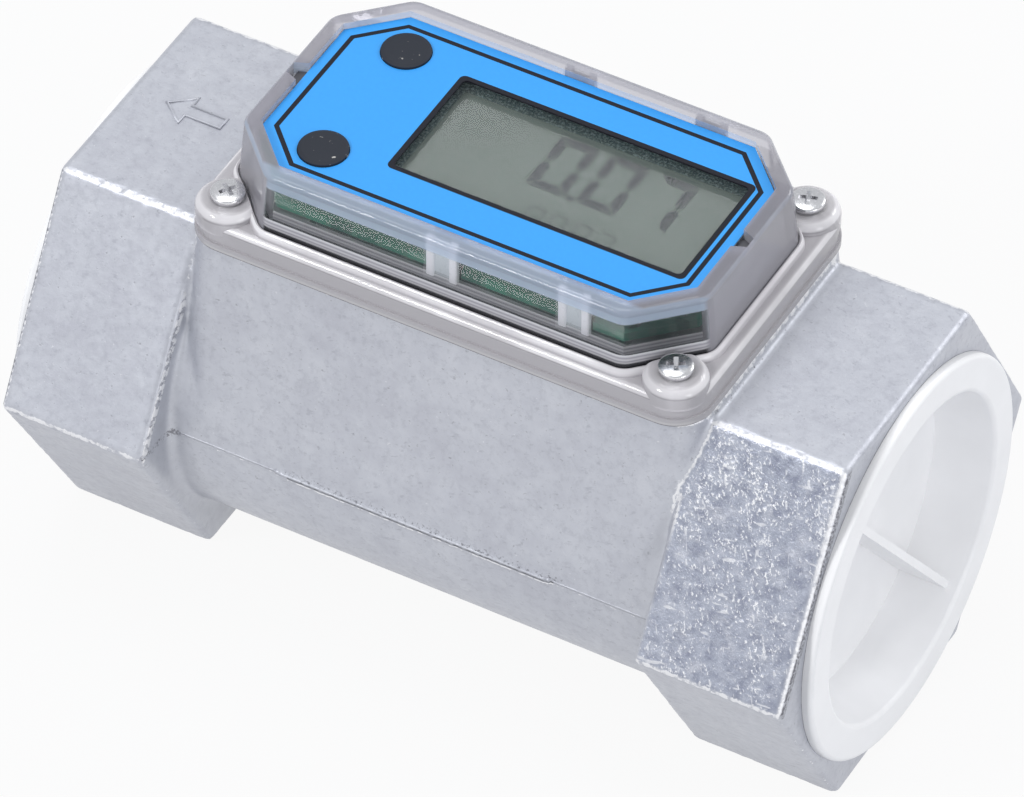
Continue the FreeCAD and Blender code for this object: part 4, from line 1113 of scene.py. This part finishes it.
def makeLabel():
    a = label
    holes = [circleLine(a["keyHole"], a["keyX"], sy * a["keyY"]) for sy in (1, -1)]
    low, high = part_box("face_label")
    outlines = [octagon(a["halfX"], a["halfY"], a["cut"]), windowShape(0.0)] + holes
    under = low.z + a["backing"] * mm
    place(filmPiece("faceLabel", outlines, under, high.z), "blue_label", "face_label")
    back = filmPiece("labelBacking", outlines, low.z - a["sink"] * mm, under, backingFinish)
    place(back, "blue_label", "face_label")
    inset = a["lineWidth"] * (2 - math.sqrt(2))
    line = [octagon(a["lineHalfX"], a["lineHalfY"], a["lineCut"]),
            octagon(a["lineHalfX"] - a["lineWidth"], a["lineHalfY"] - a["lineWidth"], a["lineCut"] - inset)]
    inner = windowShape(-a["inkWall"])
    border = windowShape(a["border"], a["borderRound"], (a["borderRight"] - a["border"]) / 2)
    ink = high.z + a["ink"] * mm
    for name, outlines, bottom, top in (
            ("labelLine", line, high.z - 0.01 * mm, ink),
            ("windowBorder", [border, inner], high.z - 0.02 * mm, ink),
            ("windowWall", [windowShape(0.01), inner], low.z, high.z)):
        place(filmPiece(name, outlines, bottom, top, inkFinish), "blue_label")


makeLabel()

# the display: panel, bezel and seven-segment digits

screen = {
    "below": 0.35,
    "corner": 0.4,
    "bezelInset": 0.3,
    "bezelHalfX": 26.4,
    "bezelHalfY": 12.9,
    "bezelGap": 0.03,
    "bezelBelow": 0.06,
    # the digits, the left of each, then bottom, width, height, stroke and gap
    "large": ("007", (2.3, 11.0, 19.5), -2.1, 6.8, 12.1, 1.7, 0.16),
    "small": ("0007", (5.6, 9.7, 13.8, 17.9), -9.2, 2.9, 3.5, 0.5, 0.08),
    "dotAt": (10.1, -1.8),
    "sink": 0.01,
    "proud": 0.02,
}
segmentsOf = {"0": "abcdef", "7": "abc"}


def segmentShapes(digit, left, bottom, width, height, stroke, gap):
    # the corners of each lit segment of one digit
    x0, x1, y0, y1 = left, left + width, bottom, bottom + height
    ym = (y0 + y1) / 2
    half = stroke / 2
    flat = [(x0 + gap, y1), (x1 - gap, y1),
            (x1 - stroke - gap, y1 - stroke), (x0 + stroke + gap, y1 - stroke)]
    side = [(x0, y1 - gap), (x0 + stroke, y1 - stroke - gap), (x0 + stroke, ym + half + gap),
            (x0 + half, ym + gap), (x0, ym + half)]

    def across(shape):
        return [(x0 + x1 - x, y) for x, y in shape][::-1]

    def down(shape):
        return [(x, y0 + y1 - y) for x, y in shape][::-1]

    shapes = {"a": flat, "b": across(side), "c": down(across(side)),
              "d": down(flat), "e": down(side), "f": side}
    return [shapes[name] for name in segmentsOf[digit]]


def filmPieces(name, shapes, bottom, top, finish=None):
    # several flat pieces in one mesh
    verts = []
    faces = []
    for shape in shapes:
        count = len(shape)
        base = len(verts)
        for level in (bottom, top):
            verts += [Vector((housingX + x * mm, y * mm, level)) for x, y in shape]
        faces.append(tuple(base + k for k in range(count)))
        faces.append(tuple(base + count + k for k in reversed(range(count))))
        faces += [tuple(base + k for k in face) for face in gridFaces(2, count, False)]
    return addObject(name, meshFrom(name, verts, faces, False), finish)


def makeScreen():
    a = screen
    low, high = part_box("lcd_glass")
    x, y = label["windowMiddle"]
    top = high.z - a["below"] * mm
    glass = roundedBox((high.x - low.x) / 2 / mm, (high.y - low.y) / 2 / mm, a["corner"])
    place(filmPiece("lcdPanel", [moved(glass, x, y)], low.z, top), "display_glass", "lcd_glass")
    dot = moved(roundedBox(0.7, 0.6, 0.2, 3), *a["dotAt"])
    for name, row, lit, finish in (("lcdDigits", "large", [dot], digitFinish),
                                   ("lcdSmallDigits", "small", [], paleDigitFinish)):
        digits, lefts, *sizes = a[row]
        lit = [s for digit, left in zip(digits, lefts) for s in segmentShapes(digit, left, *sizes)] + lit
        place(filmPieces(name, lit, top - a["sink"] * mm, top + a["proud"] * mm, finish), "display_glass")
    outer = moved(roundedBox(a["bezelHalfX"], a["bezelHalfY"], a["corner"]), x, y)
    inner = windowShape(-a["bezelInset"], a["corner"])
    bezel = filmPiece("lcdBezel", [outer, inner], top + a["bezelGap"] * mm, high.z - a["bezelBelow"] * mm)
    place(bezel, "teal_frame")


makeScreen()

# pale ribs on the lid's posts, which are painted highlights, frosted webs between them, and dark plates in
# the slots beside the label at the lid's ends, which are painted shade

lidTrim = {
    "postX": (-0.95, 21.95),
    "ribHalfGap": 2.0,
    "ribHalfWidth": 0.72,
    "ribDepth": 0.5,
    "ribOut": 21.55,
    "ribLow": -8.6,
    "ribHigh": -1.0,
    "webHalfWidth": 1.6,
    "webDepth": 0.15,
    "slotFrom": 37.95,
    "slotTo": 39.6,
    "slotHalf": 1.9,
    "slotDeep": 2.35,
    "slotHeight": 0.5,
}


def makeLidTrim():
    a = lidTrim
    posts = [(x, sy * a["ribOut"]) for x in a["postX"] for sy in (1, -1)]
    rib = roundedBox(a["ribHalfWidth"], a["ribDepth"], 0.3, 3)
    ribs = [moved(rib, x + side * a["ribHalfGap"], y) for x, y in posts for side in (1, -1)]
    webs = [moved(roundedBox(a["webHalfWidth"], a["webDepth"], 0.1, 2), x, y) for x, y in posts]
    low, high = lidTop + a["ribLow"] * mm, lidTop + a["ribHigh"] * mm
    place(filmPieces("lidPostHighlights", ribs, low, high, postHighlightFinish), "clear_plastic")
    place(filmPieces("lidPostWebs", webs, low, high, webFinish), "clear_plastic")
    middleX = (a["slotFrom"] + a["slotTo"]) / 2
    slot = roundedBox((a["slotTo"] - a["slotFrom"]) / 2, a["slotHalf"], 0.5, 4)
    slots = [moved(slot, sx * middleX, 0) for sx in (1, -1)]
    level = lidTop - a["slotDeep"] * mm
    place(filmPieces("lidSlotShades", slots, level, level + a["slotHeight"] * mm, shadeFinish), "black_plastic")


makeLidTrim()

# the low lip of the skirt that the lid's foot stands in

lip = {
    "halfX": 41.66,
    "halfY": 24.16,
    "cut": 10.1,
    "cornerRound": 3.5,
    "foot": 41.5,
    # how far out and how high
    "profile": (
        (0.06, -0.2), (0.06, 1.15), (0.22, 1.34), (0.45, 1.28), (0.75, 0.72), (0.95, 0.16), (1.0, -0.2)),
}


def roundedOctagon(halfX, halfY, cut, radius, steps=5):
    corners = octagon(halfX, halfY, cut)
    points = []
    reach = radius * math.tan(math.radians(22.5))
    for k, corner in enumerate(corners):
        here = Vector(corner)
        before = (Vector(corners[k - 1]) - here).normalized() * reach + here
        after = (Vector(corners[(k + 1) % len(corners)]) - here).normalized() * reach + here
        for step in range(steps + 1):
            t = step / steps
            points.append(before * (1 - t) ** 2 + here * 2 * t * (1 - t) + after * t ** 2)
    return points


def makeLip():
    a = lip
    verts = []
    for out, height in a["profile"]:
        ring = roundedOctagon(a["halfX"] + out, a["halfY"] + out,
                              a["cut"] + 0.586 * out, a["cornerRound"] + out)
        verts += [Vector((housingX + p.x * mm, p.y * mm, aboveAxis(a["foot"] + height))) for p in ring]
    rows = len(a["profile"])
    mesh = meshFrom("lidLip", verts, gridFaces(rows, len(verts) // rows))
    place(addObject("lidLip", mesh, cad["display_base"].data.materials[0]), "clear_plastic")


makeLip()
print("label and screen made")

# screws with a pan head, a cross recess and a thread

screw = {
    "head": 2.75,
    "headHeight": 1.4,
    "headSteps": 8,
    "dome": 0.45,
    "edge": 0.25,
    "under": 0.15,
    "shank": 1.45,
    "core": 1.15,
    "pitch": 0.5,
    "length": 12.0,
    "tip": 0.8,
    "around": 48,
    "rowsPerTurn": 6,
    "recess": 1.7,
    "recessWidth": 0.78,
    "recessDepth": 1.1,
    "recessAbove": 0.2,
    "recessNarrow": (0.35, 0.7),
    "turns": (0.35, 1.1),
}


def makeScrewMesh():
    a = screw
    profile = [(0.0, a["headHeight"])]
    for k in range(1, a["headSteps"] + 1):
        angle = math.pi / 2 * k / a["headSteps"]
        profile.append((a["head"] * math.sin(angle), a["headHeight"] - a["dome"] * (1 - math.cos(angle))))
    profile += [(a["head"], a["edge"]), (a["head"] - a["under"], 0.0), (a["shank"], 0.0)]
    steps = int(a["length"] / a["pitch"] * a["rowsPerTurn"])
    count = a["around"]
    verts = []
    for radius, height in profile:
        verts += [Vector((x, y, height)) for x, y in circleLine(radius, count=count)]
    for j in range(1, steps + 1):
        down = a["length"] * j / steps
        taper = min(1.0, (a["length"] - down) / a["tip"] + 0.3)
        for k in range(count):
            angle = 2 * math.pi * k / count
            share = (down / a["pitch"] + k / count) % 1
            radius = (a["core"] + (a["shank"] - a["core"]) * (1 - abs(share * 2 - 1))) * taper
            verts.append(Vector((radius * math.cos(angle), radius * math.sin(angle), -down)))
    rows = len(verts) // count
    end = tuple((rows - 1) * count + k for k in range(count))
    mesh = meshFrom("screwBlank", [v * mm for v in verts], gridFaces(rows, count, False) + [end])
    blank = addObject("screwBlank", mesh)
    weld = blank.modifiers.new("weld", "WELD")
    weld.merge_threshold = 0.001 * mm
    cutter = addObject("crossCutter", crossMesh())
    cut = blank.modifiers.new("cross", "BOOLEAN")
    cut.solver = "EXACT"
    cut.use_self = True
    cut.object = cutter
    done = applied(blank)
    bpy.data.objects.remove(blank)
    bpy.data.objects.remove(cutter)
    return done


def crossMesh():
    # a tapered cross, as a cross-head driver leaves it
    a = screw
    work = bmesh.new()
    for turn in (0, 1):
        for vertex in bmesh.ops.create_cube(work, size=1.0)["verts"]:
            x, y, z = vertex.co
            shorter, thinner = (1.0, 1.0) if z > 0 else a["recessNarrow"]
            level = a["headHeight"] + (a["recessAbove"] if z > 0 else -a["recessDepth"])
            spot = Vector((x * 2 * a["recess"] * shorter, y * a["recessWidth"] * thinner, level))
            if turn:
                spot = Vector((-spot.y, spot.x, spot.z))
            vertex.co = spot * mm
    bmesh.ops.recalc_face_normals(work, faces=work.faces)
    return meshOf("crossCutter", work)


def makeCaseScrews():
    blank = makeScrewMesh()
    low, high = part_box("case_screws")
    seat = high.z - screw["headHeight"] * mm
    first, further = screw["turns"]
    work = bmesh.new()
    for k, (sx, sy) in enumerate(quarters):
        copy = blank.copy()
        x = (high.x if sx > 0 else low.x) - sx * screw["head"] * mm
        y = (high.y if sy > 0 else low.y) - sy * screw["head"] * mm
        copy.transform(Matrix.Translation((x, y, seat)) @ Matrix.Rotation(first + further * k, 4, "Z"))
        work.from_mesh(copy)
    mesh = meshOf("caseScrews", work)
    piece = addObject("caseScrews", mesh)
    shade(mesh, True)
    split = piece.modifiers.new("edges", "EDGE_SPLIT")
    split.split_angle = math.radians(35)
    return place(piece, "zinc_steel", "case_screws")


makeCaseScrews()
print("screws made")

# floor, light and world

studio = {
    "floorSize": 6.0,
    "floorBelow": 0.4,
    "floorWhite": 0.93,
    "floorDark": (0.46, 0.47, 0.50),
    "floorLight": (0.52, 0.53, 0.56),
    "worldColour": (0.95, 0.97, 1.0),
    "worldStrength": 0.68,
    "glintLimit": 2.0,
    "lamps": (
        # where, size, power
        ("keyLamp", (-0.55, -1.0, 0.95), 0.32, 7.0),
        ("topLamp", (-0.3, 0.2, 1.4), 0.8, 5.5),
        ("rimLamp", (0.5, 1.1, 0.8), 0.5, 4.0),
        ("sideLamp", (1.25, -0.45, 0.40), 0.6, 4.2),
    ),
}


def makeFloor():
    half = studio["floorSize"] / 2
    level = solidBounds[0][2] - studio["floorBelow"] * mm
    corners = [(x * half, y * half, level) for x, y in ((-1, -1), (1, -1), (1, 1), (-1, 1))]
    mesh = meshFrom("floor", corners, [(0, 1, 2, 3)], False)
    finish, tree, shader = newFinish("paleFloor", studio["floorLight"], 0.9)
    tint(shader, overGrain(grain(tree, 0.01), studio["floorDark"], studio["floorLight"]))
    glow = node(tree, "ShaderNodeEmission", Color=(1, 1, 1, 1), Strength=1.0)
    path = node(tree, "ShaderNodeLightPath").outputs
    seen = larger(path["Is Camera Ray"], larger(path["Is Glossy Ray"], path["Is Transmission Ray"]))
    mix = node(tree, "ShaderNodeMixShader")
    for socket, value in enumerate((times(seen, studio["floorWhite"]), shader.outputs[0], glow.outputs[0])):
        feed(mix.inputs[socket], value)
    feed(tree.nodes["Material Output"].inputs["Surface"], mix.outputs[0])
    addObject("floor", mesh, finish)


def makeLamps():
    target = Vector(view["target"])
    for name, where, size, power in studio["lamps"]:
        data = bpy.data.lights.new(name, "AREA")
        data.shape = "DISK"
        data.size = size
        data.energy = power
        lamp = addObject(name, data)
        lamp.location = where
        lamp.rotation_euler = (Vector(where) - target).to_track_quat("Z", "Y").to_euler()


def makeWorld():
    world = bpy.data.worlds.new("studioWorld")
    bpy.context.scene.world = world
    world.use_nodes = True
    sky = world.node_tree.nodes["Background"]
    feed(sky.inputs["Color"], studio["worldColour"])
    feed(sky.inputs["Strength"], studio["worldStrength"])


makeFloor()
makeLamps()
makeWorld()
bpy.context.scene.view_settings.view_transform = "Standard"
cycles = bpy.context.scene.cycles
cycles.caustics_reflective = False
cycles.caustics_refractive = False
cycles.sample_clamp_indirect = studio["glintLimit"]
print("studio set")
